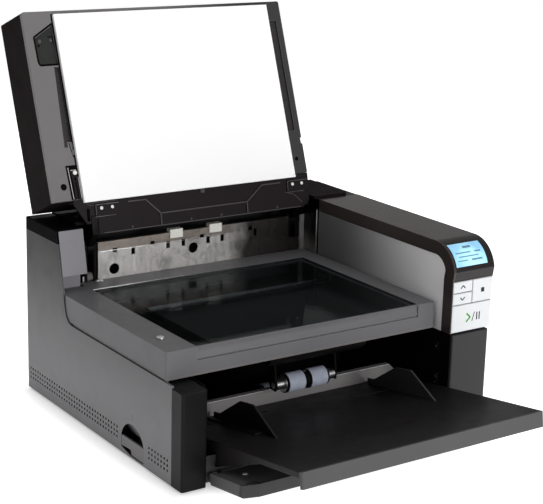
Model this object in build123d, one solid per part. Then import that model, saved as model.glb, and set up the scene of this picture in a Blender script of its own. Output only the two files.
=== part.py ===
from build123d import *
import math
import os

os.makedirs("parts", exist_ok=True)

# A flatbed document scanner with a sheet feeder. Millimetres, X to the right, Y to the back, Z up.
# The origin is the middle of the case's footprint, on the table that its feet stand on.

# Case
case_half_width = 216.0
case_rear_y = 183.0
underside_z = 2.4
cover_wall = 2.5
seam_gap = 0.3
floor_thickness = 3.0
side_seam_y = -164.0
parting_z = 114.3
case_left_x = -case_half_width
case_right_x = case_half_width
inner_left_x = case_left_x + cover_wall
inner_right_x = case_right_x - cover_wall
inner_rear_y = case_rear_y - cover_wall
floor_top_z = underside_z + floor_thickness

# Left tower and its cap
tower_width = 34.0
tower_inner_x = case_left_x + tower_width
tower_seam_z = 204.0
tower_top_z = 219.8
tower_front_top_y = 98.0
tower_front_mid_y = 87.0
tower_front_mid_z = 152.0
tower_foot_y = 78.0
tower_foot_radius = 18.0
tower_cover_bottom_z = 166.5
tower_cover_seam_z = 205.5
tower_recess_rear_y = 108.5
tower_recess_bottom_z = 118.0
tower_back_rib_y = case_rear_y - 8.0

# Front left pillar and front right panel
pillar_width = 31.0
pillar_right_x = case_left_x + pillar_width
pillar_front_y = -186.0
pillar_top_z = 112.0
pillar_top_rear_y = -146.0
pillar_corner_radius = 3.0
front_panel_width = 57.0
front_panel_left_x = case_right_x - front_panel_width
front_panel_front_y = -173.0
front_panel_top_z = 109.5

# Control pod
pod_width = 62.0
pod_left_x = case_right_x - pod_width
pod_rear_y = 92.8
pod_bottom_z = 112.0
pod_top_z = 218.0
pod_front_y = -173.7
pod_nose_y = -175.4
pod_nose_z = 187.0
pod_crown_y = -137.0
pod_brow_y = -160.2
pod_brow_z = 210.9
pod_band = 16.0
bezel_left_x = pod_left_x + 3.6
bezel_top_y = -140.0
bezel_bottom_z = 176.3
lcd_width = 48.0
lcd_left_x = bezel_left_x + 1.0
lcd_right_x = lcd_left_x + lcd_width
lcd_top_y = -153.0
lcd_bottom_z = 194.6
lcd_thickness = 1.5

# Buttons, by their edges in X and Z
button_gap = 0.9
button_depth = 3.6
button_travel = 1.0
button_stem_radius = 2.0
button_stem_length = 5.0
button_left_x = pod_left_x + 1.8
button_split_x = button_left_x + 29.6
button_top_z = 174.6
button_mid_z = 160.6
button_low_z = 146.0
button_plate_thickness = 2.5
button_corner = 1.2

# Top deck over the rear
deck_thickness = 3.5
deck_top_z = 221.0
deck_front_y = 97.5
deck_right_x = case_right_x - 11.0
deck_corner_radius = 9.0
deck_lid_cut_y = 121.0
deck_arm_cut_y = 165.0

# Flatbed module
bed_left_x = case_left_x + 1.4
bed_right_x = pod_left_x - 4.6
bed_front_y = -150.0
bed_shelf_left_x = tower_inner_x + 4.0
bed_shelf_rear_y = 119.5
bed_step_left_x = inner_left_x + 0.6
bed_step_rear_y = 105.0
bed_left_rear_low_y = 62.0
bed_top_z = 146.7
bed_bottom_z = 115.0
bed_top_skin = 3.2
bed_front_wall = 5.0
bed_scoop_depth = 2.2
bed_crease_z = 134.0
bed_groove = 1.2
tub_floor = 2.0
glass_left_x = bed_left_x + 37.6
glass_right_x = bed_right_x - 25.4
glass_front_y = -147.0
glass_rear_y = 84.0
glass_thickness = 3.0
glass_clearance = 0.2
glass_ledge = 5.0
lid_button_x = bed_left_x + 17.6
lid_button_y = -107.0
lid_button_radius = 4.5
lid_button_height = 2.2

# Pivot of the flatbed at the rear
lift_axis_y = 130.0
lift_axis_z = 149.0
lift_pin_radius = 3.0
lift_knuckle_radius = 6.0
lift_arm_width = 8.0
lift_arm_top_z = 130.0

# Scanning carriage inside the flatbed
rail_radius = 3.0
rail_front_y = -128.0
rail_rear_y = 48.0
rail_z = 124.0
running_clearance = 0.05
carriage_left_x = glass_left_x + 5.0
carriage_width = 26.0
carriage_bottom_z = 118.5
carriage_top_z = 140.0

# Lid, drawn closed and turned open about its hinge
lid_open_deg = 110.2
hinge_y = 129.6
hinge_z = 186.2
lid_left_x = bed_left_x + 2.1
lid_right_x = bed_right_x + 0.4
lid_front_y = -151.0
lid_rear_y = 74.4
lid_rear_lean = 6.1
lid_inner_z = 151.0
lid_depth = 64.0
lid_frame_depth = 6.0
lid_edge_radius = 2.5
pad_left_x = lid_left_x + 38.2
pad_right_x = lid_right_x - 22.0
pad_proud = 4.0
pad_front_y = lid_front_y + 4.6
pad_seat_rear_y = lid_rear_y - 2.6
pad_rear_y = lid_rear_y + 4.8
foam_thickness = 3.0
tail_rear_y = 117.8
tail_rear_z = 158.5
tail_thickness = 3.0
tail_left_x = lid_left_x + 26.5
arm_width = 8.0
arm_left_x = tower_inner_x + 17.0
arm_right_x = pod_left_x - 24.0
arm_radius = 9.0
arm_lid_low_z = 165.0
arm_lid_high_z = 190.0
hinge_pin_radius = 4.0
hinge_cheek = 3.0
screw_plate_left_x = arm_left_x + 5.3
screw_plate_right_x = arm_right_x - 14.5
screw_plate_width = 31.0
screw_plate_depth = 13.4
rib_gap_left = 12.7
rib_gap_right = 10.5

# Rear metal plate with the flange at its right end
plate_left_x = tower_inner_x + 30.0
plate_right_x = pod_left_x - 1.2
plate_front_y = 120.2
plate_thickness = 1.6
plate_top_z = 193.0
plate_hole_radius = 6.75
plate_hole_left_x = plate_left_x + 22.0
plate_hole_mid_x = -18.6
flange_front_y = 94.0
flange_bottom_z = 117.0
flange_top_z = 205.0

# Rear chassis beam
beam_rear_y = 160.0
beam_bottom_z = 92.0
beam_top_z = 108.0
beam_leg = 8.0

# Feed bay
bay_left_x = tower_inner_x
bay_right_x = pod_left_x + 2.8
bay_wall = 2.0
bay_front_y = -172.0
bay_rear_y = 70.0
bay_top_z = 111.5
fascia_front_y = -176.0
fascia_thickness = 2.5
fascia_top_z = 32.0

# Input tray: a plate that slopes up to the front, drawn level and then tilted
tray_tilt_deg = 8.5
tray_pivot_y = -180.0
tray_pivot_z = 47.9
tray_left_x = bay_left_x + 13.0
tray_right_x = bay_right_x - 1.8
tray_rear = 97.0
tray_deep_front = -60.0
tray_front = -150.8
tray_thickness = 12.0
tray_front_thickness = 6.4
tray_skin = 1.6
tray_side_wall = 1.6
tray_ledge = 4.4
tray_skirt_front = -82.0
tray_skirt_rear_top = 3.4
tray_skirt_rear = 7.1
tray_skirt_depth = 28.7
tray_post_radius = 4.0
tray_post_inset = 46.0
tray_post_along = 84.0
tray_socket_height = 13.0
extender_front = -154.7
extender_rear = -63.0
extender_thickness = 2.5
extender_lip = 3.6
extender_lip_height = 17.5
slide_clearance = 0.3
path_x = (tray_left_x + tray_right_x) / 2

# Feed roller under the flatbed
feed_x = path_x - 5.5
feed_y = -116.0
feed_z = 69.6
feed_tyre_radius = 11.4
feed_tyre_inner = 4.5
feed_tyre_width = 22.0
feed_flange_radius = 10.0
feed_flange_width = 3.6
feed_hub_radius = 6.2
feed_hub_width = 10.0
feed_shaft_radius = 4.0
feed_ear_thickness = 2.5
feed_ear_gap = 0.4
feed_housing_half_width = 66.0
feed_housing_depth = 12.0

# Feed ramp and rollers behind it
ramp_left_x = bay_left_x + 16.0
ramp_right_x = bay_right_x - 8.8
ramp_y = -82.0
ramp_thickness = 2.0
ramp_top_z = 50.0
separator_y = -66.0
separator_z = 42.0
separator_radius = 10.0
separator_half_length = 24.0
transport_y = -20.0
transport_z = 70.0
transport_shaft_radius = 4.0
transport_tyre_radius = 10.0
transport_tyre_width = 22.0
transport_pitch = 70.0
transport_count = 4

# Side guides on the tray, with racks and one pinion
guide_left_face_x = path_x - 108.0
guide_thickness = 2.2
guide_stem_offset = 2.0
guide_in_travel = 56.0
guide_out_travel = 32.0
guide_fin_height = 29.2
guide_flange = 9.0
gear_module = 1.0
pinion_teeth = 16
pinion_along = 58.0
pinion_thickness = 4.6
pinion_pin_radius = 2.0
rack_height = 6.0
rack_thickness = 4.4
tooth_share = 0.42
tooth_addendum = 0.8
tooth_dedendum = 1.15
stem_width = 3.4
slot_width = 4.2

# Front flap
flap_axis_y = -181.5
flap_axis_z = 9.0
flap_tilt_deg = 8.5
flap_left_x = bay_left_x + 2.0
flap_right_x = bay_right_x - 1.3
flap_length = 73.0
flap_thickness = 14.0
flap_wall = 2.5
flap_corner_x = 17.0
flap_corner_y = 7.0
flap_liner = 2.0
flap_lug_width = 6.0
flap_lug_inset = 8.0
flap_pin_radius = 2.0
flap_screw_inset = 26.0
flap_screw_along = 32.0

# Release lever in the left cover
lever_y0 = -105.2
lever_y1 = -55.0
lever_z0 = 4.6
lever_shoulder_z = 23.8
lever_crown_z = 42.3
lever_pocket_depth = 14.0
lever_axis_x = case_left_x + 5.0
lever_axis_z = 12.2
lever_top_z = 22.8
lever_bottom_z = 6.2
lever_sunk = 0.3
lever_thickness = 2.5
lever_pin_radius = 1.5
lever_scoop_low_z = 27.0
lever_scoop_depth = 8.5

# Air vents in both side covers
vent_size = 3.0
vent_pitch = 6.5
vent_rows = 3
vent_row_pitch = 5.85
vent_first_z = 17.0
vent_rear_y = case_rear_y - 7.0
vent_rear_count = 35
vent_front_y = -117.0
vent_front_count = 7

# Feet
foot_radius = 10.0
foot_inset_x = 26.0
foot_front_y = -150.0
foot_rear_y = case_rear_y - 23.0

# Rear sockets and switch
inlet_x = case_right_x - 66.0
inlet_z = 32.0
inlet_width = 28.0
inlet_height = 20.0
inlet_depth = 22.0
usb_x = case_right_x - 156.0
usb_z = 30.0
usb_size = 12.0
usb_depth = 16.0
switch_x = case_right_x - 28.0
switch_width = 14.0
switch_height = 20.0
switch_depth = 10.0
rear_slot_first_x = path_x - 113.0
rear_slot_count = 16
rear_slot_pitch = 9.0
rear_slot_width = 3.5
rear_slot_low_z = 60.0
rear_slot_high_z = 96.0
rear_screw_radius = 3.0

# Parts inside the base
supply_width = 70.0
supply_depth = 28.0
supply_height = 52.0
supply_right_x = inlet_x - 10.0
supply_front_y = 84.0
board_width = 128.0
board_thickness = 1.6
board_front_y = case_rear_y - 59.0
motor_radius = 17.0
motor_length = 24.0
motor_y = 30.0
motor_z = 60.0
motor_plate_half = 21.0


def block(x0, x1, y0, y1, z0, z1):
    """A box by its faces."""
    return Pos((x0 + x1) / 2, (y0 + y1) / 2, (z0 + z1) / 2) * Box(x1 - x0, y1 - y0, z1 - z0)


def rod_x(x0, x1, y, z, radius):
    return Pos((x0 + x1) / 2, y, z) * Rot(0, 90, 0) * Cylinder(radius, x1 - x0)


def rod_y(x, y0, y1, z, radius):
    return Pos(x, (y0 + y1) / 2, z) * Rot(90, 0, 0) * Cylinder(radius, y1 - y0)


def rod_z(x, y, z0, z1, radius):
    return Pos(x, y, (z0 + z1) / 2) * Cylinder(radius, z1 - z0)


def side_face(edges):
    """A face in the YZ plane from a closed run of edges drawn as (y, z)."""
    return Plane.YZ * make_face(edges)


def side_solid(points, x0, x1):
    """A solid between x0 and x1 whose side view is a polygon of (y, z) points."""
    face = Plane.YZ * make_face(Polyline(*points, close=True))
    return Pos(x0, 0, 0) * extrude(face, amount=x1 - x0)


def plan_solid(points, z0, z1):
    """A solid between z0 and z1 whose plan is a polygon of (x, y) points."""
    return Pos(0, 0, z0) * extrude(make_face(Polyline(*points, close=True)), amount=z1 - z0)


def front_solid(points, y0, y1):
    """A solid between y0 and y1 whose front view is a polygon of (x, z) points."""
    plane = Plane(origin=(0, y0, 0), x_dir=(1, 0, 0), z_dir=(0, -1, 0))
    return extrude(plane * make_face(Polyline(*points, close=True)), amount=-(y1 - y0))


def edges_along(solid, axis, low, high):
    """Edges parallel to an axis whose centres lie in the box from low to high."""
    found = solid.edges().filter_by(axis)
    return [e for e in found if all(a <= b <= c for a, b, c in zip(low, tuple(e.center()), high))]


def soften(solid, edges, radius):
    """A fillet over the edges given, if there are any."""
    return fillet(edges, radius) if edges else solid


def vents(x0, x1):
    """The cutters of all vent holes in one side cover."""
    cutters = []
    for row in range(vent_rows):
        z = vent_first_z + row * vent_row_pitch
        for column in range(vent_rear_count):
            cutters.append(Pos((x0 + x1) / 2, vent_rear_y - column * vent_pitch, z))
        for column in range(vent_front_count):
            cutters.append(Pos((x0 + x1) / 2, vent_front_y - column * vent_pitch, z))
    hole = Box(x1 - x0 + 2, vent_size, vent_size)
    return [place * hole for place in cutters]


def base_pan():
    """The floor with a low rim, sockets for the tray's posts and stands for the rollers."""
    left = inner_left_x
    right = inner_right_x
    front = side_seam_y + seam_gap
    rear = inner_rear_y
    floor = block(left, right, front, rear, underside_z, floor_top_z)
    floor += block(bay_left_x, bay_right_x + bay_wall, fascia_front_y + fascia_thickness, front,
                   underside_z, floor_top_z)
    rim_top = floor_top_z + 8
    for x in (left, right - cover_wall):
        floor += block(x, x + cover_wall, front, rear, floor_top_z, rim_top)
    pocket_right = case_left_x + lever_pocket_depth + cover_wall + seam_gap
    floor -= block(left - 1, pocket_right, lever_y0 - cover_wall - 1, lever_y1 + cover_wall + 1,
                   underside_z - 1,
                   rim_top + 1)
    for x in (tray_left_x + tray_post_inset, tray_right_x - tray_post_inset):
        y = tray_point(0, tray_post_along, 0)[1]
        socket = rod_z(x, y, floor_top_z, floor_top_z + tray_socket_height, tray_post_radius + 2.5)
        floor += socket
        floor -= rod_z(x, y, floor_top_z, floor_top_z + tray_socket_height + 1,
                       tray_post_radius + running_clearance)
    stand_top = separator_z + 8
    for side in (-1, 1):
        x = feed_x + side * (separator_half_length + 2.5)
        stand = block(x - 2, x + 2, separator_y - 7, separator_y + 7, floor_top_z, stand_top)
        floor += stand
        floor -= rod_x(x - 3, x + 3, separator_y, separator_z, feed_shaft_radius + running_clearance)
    return floor


def feet():
    """Four rubber feet under the floor."""
    pads = []
    for x in (case_left_x + foot_inset_x, case_right_x - foot_inset_x):
        for y in (foot_front_y, foot_rear_y):
            pads.append(rod_z(x, y, 0, underside_z, foot_radius))
    return Compound(children=pads)


def left_side_cover():
    """The left cover with its tower, vents and the pocket of the release lever."""
    outline = [(side_seam_y, underside_z), (case_rear_y, underside_z), (case_rear_y, tower_seam_z),
               (tower_front_top_y, tower_seam_z), (tower_front_mid_y, tower_front_mid_z),
               (tower_foot_y, parting_z), (side_seam_y, parting_z)]
    panel = side_solid(outline, case_left_x, inner_left_x)
    foot_edge = edges_along(panel, Axis.X, (case_left_x, tower_foot_y - 1, parting_z - 1),
                            (inner_left_x, tower_foot_y + 1, parting_z + 1))
    panel = soften(panel, foot_edge, tower_foot_radius)
    wall_front = tower_recess_rear_y + cover_wall + seam_gap
    inner = block(tower_inner_x - cover_wall, tower_inner_x, wall_front, inner_rear_y - seam_gap, parting_z,
                  tower_seam_z)
    rib = block(case_left_x, tower_inner_x, tower_back_rib_y, tower_back_rib_y + cover_wall, parting_z - 20,
                tower_seam_z)
    lip = block(inner_left_x, inner_left_x + 6, pillar_top_rear_y + 2, tower_foot_y - 30, parting_z - 3,
                parting_z)
    cover = panel + inner + rib + lip
    depth_x = case_left_x + lever_pocket_depth
    pocket = block(inner_left_x, depth_x + cover_wall, lever_y0 - cover_wall, lever_y1 + cover_wall,
                   underside_z, lever_crown_z + cover_wall)
    cover += pocket
    middle_y = (lever_y0 + lever_y1) / 2
    mouth_edges = Polyline((lever_y0, lever_shoulder_z), (lever_y0, lever_z0), (middle_y + 5, lever_z0),
                           (lever_y1, lever_z0 + 4.5), (lever_y1, lever_shoulder_z))
    mouth_edges += ThreePointArc((lever_y1, lever_shoulder_z), (middle_y, lever_crown_z),
                                 (lever_y0, lever_shoulder_z))
    mouth = Pos(case_left_x - 1, 0, 0) * extrude(side_face(mouth_edges), amount=lever_pocket_depth + 1)
    scoop = front_solid([(case_left_x, lever_crown_z + 0.6),
                         (case_left_x + lever_scoop_depth, lever_scoop_low_z),
                         (depth_x + 1, lever_scoop_low_z), (depth_x + 1, lever_crown_z + 1),
                         (case_left_x, lever_crown_z + 1)], lever_y0 - 1, lever_y1 - 7)
    cover -= mouth - scoop
    cover -= block(case_left_x - 1, case_left_x + 0.4, middle_y - 0.9, middle_y + 0.9, lever_crown_z + 4,
                   lever_crown_z + 12)
    cover -= rod_y(lever_axis_x, lever_y0 - 1.5, lever_y1 + 1.5, lever_axis_z,
                   lever_pin_radius + running_clearance)
    return cover - vents(case_left_x, inner_left_x)


def tower_front_y(z):
    """Place of the tower's sloping front at a height."""
    lean = (tower_front_top_y - tower_front_mid_y) / (tower_seam_z - tower_front_mid_z)
    return tower_front_mid_y + (z - tower_front_mid_z) * lean


def tower_front_cover():
    """The front plate of the left tower, over a deep recess that the flatbed reaches into."""
    low_z = tower_cover_bottom_z
    low_y = tower_front_y(low_z)
    high_z = tower_top_z - 1.5
    high_y = tower_front_y(high_z)
    back_y = tower_recess_rear_y
    strip = [(high_y, high_z), (low_y, low_z), (back_y, low_z), (back_y, tower_recess_bottom_z),
             (back_y + cover_wall, tower_recess_bottom_z), (back_y + cover_wall, low_z + cover_wall),
             (low_y + cover_wall, low_z + cover_wall), (high_y + cover_wall, high_z)]
    cover = side_solid(strip, inner_left_x + 0.1, tower_inner_x)
    seam_y = tower_front_y(tower_cover_seam_z)
    return cover - block(case_left_x, tower_inner_x + 1, seam_y - 1, seam_y + 0.5, tower_cover_seam_z - 0.4,
                         tower_cover_seam_z + 0.4)


def tower_cap():
    """The black cap on the left tower, open at the front where the light plate covers it."""
    bottom = tower_seam_z
    front_low = tower_front_y(bottom)
    front_high = tower_front_y(tower_top_z)
    outline = [(front_low, bottom), (case_rear_y, bottom), (case_rear_y, tower_top_z),
               (front_high, tower_top_z)]
    cap = side_solid(outline, case_left_x, tower_inner_x)
    top_edges = cap.edges().filter_by(lambda e: e.center().Z > tower_top_z - 0.1)
    cap = fillet(top_edges, 2.0)
    hollow = side_solid([(front_low + cover_wall, bottom - 1), (case_rear_y - cover_wall, bottom - 1),
                         (case_rear_y - cover_wall, tower_top_z - cover_wall),
                         (front_high + cover_wall, tower_top_z - cover_wall)],
                        case_left_x + cover_wall, tower_inner_x - cover_wall)
    plate_room = cover_wall + seam_gap
    mouth = side_solid([(front_low - 1, bottom - 1), (front_low + plate_room, bottom - 1),
                        (front_high + plate_room, tower_top_z - 1.2), (front_high - 1, tower_top_z - 1.2)],
                       inner_left_x, tower_inner_x + 1)
    return cap - hollow - mouth


def rear_cover():
    """The rear wall with openings for the sockets, the switch and air."""
    wall = block(inner_left_x, inner_right_x, case_rear_y - cover_wall, case_rear_y, underside_z,
                 deck_top_z - deck_thickness)
    wall -= block(case_left_x, tower_inner_x, case_rear_y - 5, case_rear_y + 1, tower_seam_z, deck_top_z)
    y0 = case_rear_y - cover_wall - 1
    y1 = case_rear_y + 1
    for x, z, width, height in ((inlet_x, inlet_z, inlet_width, inlet_height),
                                (usb_x, usb_z, usb_size, usb_size),
                                (switch_x, inlet_z, switch_width, switch_height)):
        cut_w = width / 2 + seam_gap
        cut_h = height / 2 + seam_gap
        wall -= block(x - cut_w, x + cut_w, y0, y1, z - cut_h, z + cut_h)
    slots = []
    for column in range(rear_slot_count):
        x = rear_slot_first_x + column * rear_slot_pitch
        slots.append(block(x, x + rear_slot_width, y0, y1, rear_slot_low_z, rear_slot_high_z))
    wall = wall - slots
    for x in (case_left_x + 15, case_right_x - 15):
        for z in (20.0, 110.0, 198.0):
            wall += rod_y(x, case_rear_y, case_rear_y + 1.2, z, rear_screw_radius)
    return wall


def right_side_cover():
    """The right cover below and behind the control pod."""
    low_top = pod_bottom_z - seam_gap * 4
    top = deck_top_z - deck_thickness
    outline = [(side_seam_y + seam_gap, underside_z), (case_rear_y, underside_z), (case_rear_y, top),
               (pod_rear_y + seam_gap, top), (pod_rear_y + seam_gap, low_top),
               (side_seam_y + seam_gap, low_top)]
    panel = side_solid(outline, inner_right_x, case_right_x)
    shoulder = block(deck_right_x - 8, inner_right_x, pod_rear_y + seam_gap,
                     case_rear_y - cover_wall - seam_gap,
                     top - cover_wall, top)
    inner = block(pod_left_x, pod_left_x + cover_wall, plate_front_y, tower_back_rib_y + cover_wall,
                  parting_z + 3, top)
    rib = block(pod_left_x, inner_right_x, tower_back_rib_y, tower_back_rib_y + cover_wall, parting_z + 3,
                top)
    front = block(pod_left_x + cover_wall, inner_right_x, pod_rear_y + seam_gap,
                  pod_rear_y + seam_gap + cover_wall,
                  top - 14, top)
    sill = block(pod_left_x + cover_wall, inner_right_x, pod_rear_y + seam_gap + cover_wall, deck_front_y + 4,
                 top - cover_wall, top)
    cover = panel + shoulder + inner + rib + front + sill
    return cover - vents(inner_right_x, case_right_x)


def front_left_pillar():
    """The rounded black pillar at the front left, a shell open to the back."""
    shell = block(case_left_x, pillar_right_x, pillar_front_y, side_seam_y - seam_gap, underside_z,
                  pillar_top_z)
    front_edges = edges_along(shell, Axis.Z, (case_left_x - 1, pillar_front_y - 1, 0),
                              (pillar_right_x + 1, pillar_front_y + 1, pillar_top_z))
    shell = fillet(front_edges, pillar_corner_radius)
    top_edges = [e for e in shell.edges() if e.center().Z > pillar_top_z - 0.1
                 and e.center().Y < side_seam_y - seam_gap - 0.5]
    shell = fillet(top_edges, 0.8)
    hollow = block(case_left_x + cover_wall, pillar_right_x - cover_wall, pillar_front_y + cover_wall + 0.5,
                   side_seam_y, underside_z - 1, pillar_top_z - cover_wall)
    shelf = block(inner_left_x + seam_gap, pillar_right_x, side_seam_y - seam_gap - 1, pillar_top_rear_y,
                  pillar_top_z - cover_wall, pillar_top_z)
    return shell - hollow + shelf


def front_right_panel():
    """The front panel below the buttons, with short returns."""
    bottom = underside_z
    plate = block(front_panel_left_x, case_right_x, front_panel_front_y, side_seam_y, bottom,
                  front_panel_top_z)
    corner = edges_along(plate, Axis.Z, (case_right_x - 1, front_panel_front_y - 1, 0),
                         (case_right_x + 1, front_panel_front_y + 1, front_panel_top_z))
    plate = fillet(corner, 4.0)
    left_corner = edges_along(plate, Axis.Z, (front_panel_left_x - 1, front_panel_front_y - 1, 0),
                              (front_panel_left_x + 1, front_panel_front_y + 1, front_panel_top_z))
    plate = fillet(left_corner, 2.0)
    top_edges = [e for e in plate.edges()
                 if e.center().Z > front_panel_top_z - 0.1 and e.center().Y < side_seam_y - 0.5]
    plate = fillet(top_edges, 1.5)
    hollow = block(front_panel_left_x + cover_wall, inner_right_x, front_panel_front_y + 4, side_seam_y + 1,
                   bottom - 1, front_panel_top_z - cover_wall)
    return plate - hollow


def pod_outline(inset=0.0, rear_y=None, bottom=None):
    """Side view of the control pod: flat top, curved nose and upright front, moved in by inset."""
    back = pod_rear_y if rear_y is None else rear_y
    low = pod_bottom_z if bottom is None else bottom
    top = pod_top_z - inset
    lines = Polyline((pod_front_y + inset, pod_nose_z - 10.5), (pod_front_y + inset, low), (back, low),
                     (back, top),
                     (pod_crown_y, top))
    brow = ThreePointArc((pod_crown_y, top), (pod_brow_y + inset * 0.7, pod_brow_z - inset * 0.7),
                         (pod_nose_y + inset, pod_nose_z))
    chin = Line((pod_nose_y + inset, pod_nose_z), (pod_front_y + inset, pod_nose_z - 10.5))
    return lines + brow + chin


def pod_solid(inset, x0, x1, rear_y=None, bottom=None):
    """The pod's side view carried from x0 to x1."""
    return Pos(x0, 0, 0) * extrude(side_face(pod_outline(inset, rear_y, bottom)), amount=x1 - x0)


def bezel_region(x0, x1, grow=0.0):
    """The space that the display bezel takes from the pod's skin."""
    points = [(bezel_top_y + grow, pod_top_z + 20), (pod_nose_y - 20, pod_top_z + 20),
              (pod_nose_y - 20, bezel_bottom_z - grow), (pod_front_y + 12, bezel_bottom_z - grow),
              (bezel_top_y + grow, pod_top_z - 14)]
    return side_solid(points, x0 - grow, x1 + grow)


def pod_shell():
    """The black skin of the control pod: top, band, outer side and the frame round the buttons."""
    skin = pod_solid(0, pod_left_x, case_right_x)
    skin -= pod_solid(cover_wall, pod_left_x + cover_wall, inner_right_x, pod_rear_y + 1, pod_bottom_z - 1)
    skin -= pod_solid(pod_band, pod_left_x - 1, pod_left_x + cover_wall + 0.1, pod_rear_y + 1,
                      pod_bottom_z - 1)
    skin -= bezel_region(bezel_left_x, case_right_x + 1, seam_gap)
    skin -= block(button_left_x - button_gap / 2, case_right_x + 1, pod_nose_y - 5, button_plate_y(),
                  pod_bottom_z - 1, bezel_bottom_z - seam_gap - 0.8)
    return skin


def pod_side_panel():
    """The grey inner side of the pod, inside the black band."""
    x1 = pod_left_x + cover_wall
    panel = pod_solid(pod_band + seam_gap, pod_left_x + seam_gap, x1, pod_rear_y, pod_bottom_z)
    return panel + pod_solid(pod_band - 3, x1, x1 + 1.5, pod_rear_y, pod_bottom_z)


def display_bezel():
    """The glossy curved bezel with the display's window."""
    skin = pod_solid(0, bezel_left_x, case_right_x) - pod_solid(cover_wall + 1, bezel_left_x - 1,
                                                                inner_right_x)
    bezel = skin & bezel_region(bezel_left_x, case_right_x)
    return bezel - lcd_region(lcd_left_x, lcd_right_x)


def lcd_region(x0, x1):
    """The space of the display's window in the bezel."""
    points = [(lcd_top_y, pod_top_z + 20), (pod_nose_y - 20, pod_top_z + 20), (pod_nose_y - 20, lcd_bottom_z),
              (pod_nose_y + 10, lcd_bottom_z - 3), (lcd_top_y, pod_top_z - 12)]
    return side_solid(points, x0, x1)


def lcd_window():
    """The display's clear window, a little below the bezel's face."""
    sunk = 0.4
    x0 = lcd_left_x + 0.1
    x1 = lcd_right_x - 0.1
    pane = pod_solid(sunk, x0, x1) - pod_solid(sunk + lcd_thickness, x0 - 1, x1 + 1)
    return pane & lcd_region(x0, x1)


def button_boxes():
    """Names and edges of the four buttons, as x0, x1, z0, z1."""
    half = button_gap / 2
    right = case_right_x
    return {
        "up_button": (button_left_x, button_split_x - half, button_mid_z + half, button_top_z),
        "down_button": (button_left_x, button_split_x - half, button_low_z + half, button_mid_z - half),
        "stop_button": (button_split_x + half, right, button_low_z + half, button_top_z),
        "start_button": (button_left_x, right, pod_bottom_z + 0.6, button_low_z - half),
    }


def button_plate_y():
    """Front face of the plate that the buttons slide in."""
    return pod_front_y + button_depth + button_travel + 0.3


def button(x0, x1, z0, z1):
    """One button cap with its stem."""
    cap = block(x0, x1, pod_front_y, pod_front_y + button_depth, z0, z1)
    front_edges = [e for e in cap.edges() if e.center().Y < pod_front_y + 0.01]
    cap = fillet(front_edges, button_corner)
    rear = pod_front_y + button_depth + button_stem_length
    return cap + rod_y((x0 + x1) / 2, pod_front_y + button_depth - 0.5, rear, (z0 + z1) / 2,
                       button_stem_radius)


def button_plate():
    """The plate behind the buttons, with a guide hole for each stem."""
    y0 = button_plate_y()
    plate = block(pod_left_x + cover_wall, inner_right_x, y0, y0 + button_plate_thickness,
                  pod_bottom_z, bezel_bottom_z - 2)
    for x0, x1, z0, z1 in button_boxes().values():
        plate -= rod_y((x0 + x1) / 2, y0 - 1, y0 + button_plate_thickness + 1, (z0 + z1) / 2,
                       button_stem_radius + running_clearance)
    return plate


def control_board():
    """The circuit board behind the button plate."""
    y0 = button_plate_y() + button_plate_thickness + button_stem_length
    board = block(pod_left_x + 6, inner_right_x - 1, y0, y0 + 1.6, pod_bottom_z + 2, bezel_bottom_z - 4)
    for z in (pod_bottom_z + 12, bezel_bottom_z - 16):
        for x in (pod_left_x + 10, inner_right_x - 4):
            board += rod_y(x, button_plate_y() + button_plate_thickness, y0, z, 2.2)
    return board


def top_deck():
    """The dark plate over the rear, cut back where the lid's tail and arms swing."""
    left = tower_inner_x + seam_gap
    front = deck_front_y
    z0 = deck_top_z - deck_thickness
    deck = block(left, deck_right_x, front, case_rear_y, z0, deck_top_z)
    corner = edges_along(deck, Axis.Z, (deck_right_x - 1, front - 1, z0),
                         (deck_right_x + 1, front + 1, deck_top_z))
    deck = fillet(corner, deck_corner_radius)
    deck -= block(left - 1, pod_left_x - 3.4, front - 1, deck_lid_cut_y, z0 - 1, deck_top_z + 1)
    for x in (arm_left_x, arm_right_x):
        deck -= block(x - 5, x + arm_width + 5, deck_lid_cut_y - 1, deck_arm_cut_y, z0 - 1, deck_top_z + 1)
    top_edges = [e for e in deck.edges() if e.center().Z > deck_top_z - 0.1 and e.center().Y < front + 9
                 and e.center().X > pod_left_x]
    return soften(deck, top_edges, 0.8)


def bed_plan(grow=0.0):
    """Plan of the flatbed module, drawn in by grow."""
    return [(bed_left_x + grow, bed_front_y + grow), (bed_right_x - grow, bed_front_y + grow),
            (bed_right_x - grow, bed_shelf_rear_y - grow), (bed_shelf_left_x + grow, bed_shelf_rear_y - grow),
            (bed_shelf_left_x + grow, bed_step_rear_y - grow),
            (bed_step_left_x + grow, bed_step_rear_y - grow),
            (bed_step_left_x + grow, bed_left_rear_low_y - grow),
            (bed_left_x + grow, bed_left_rear_low_y - grow)]


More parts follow.
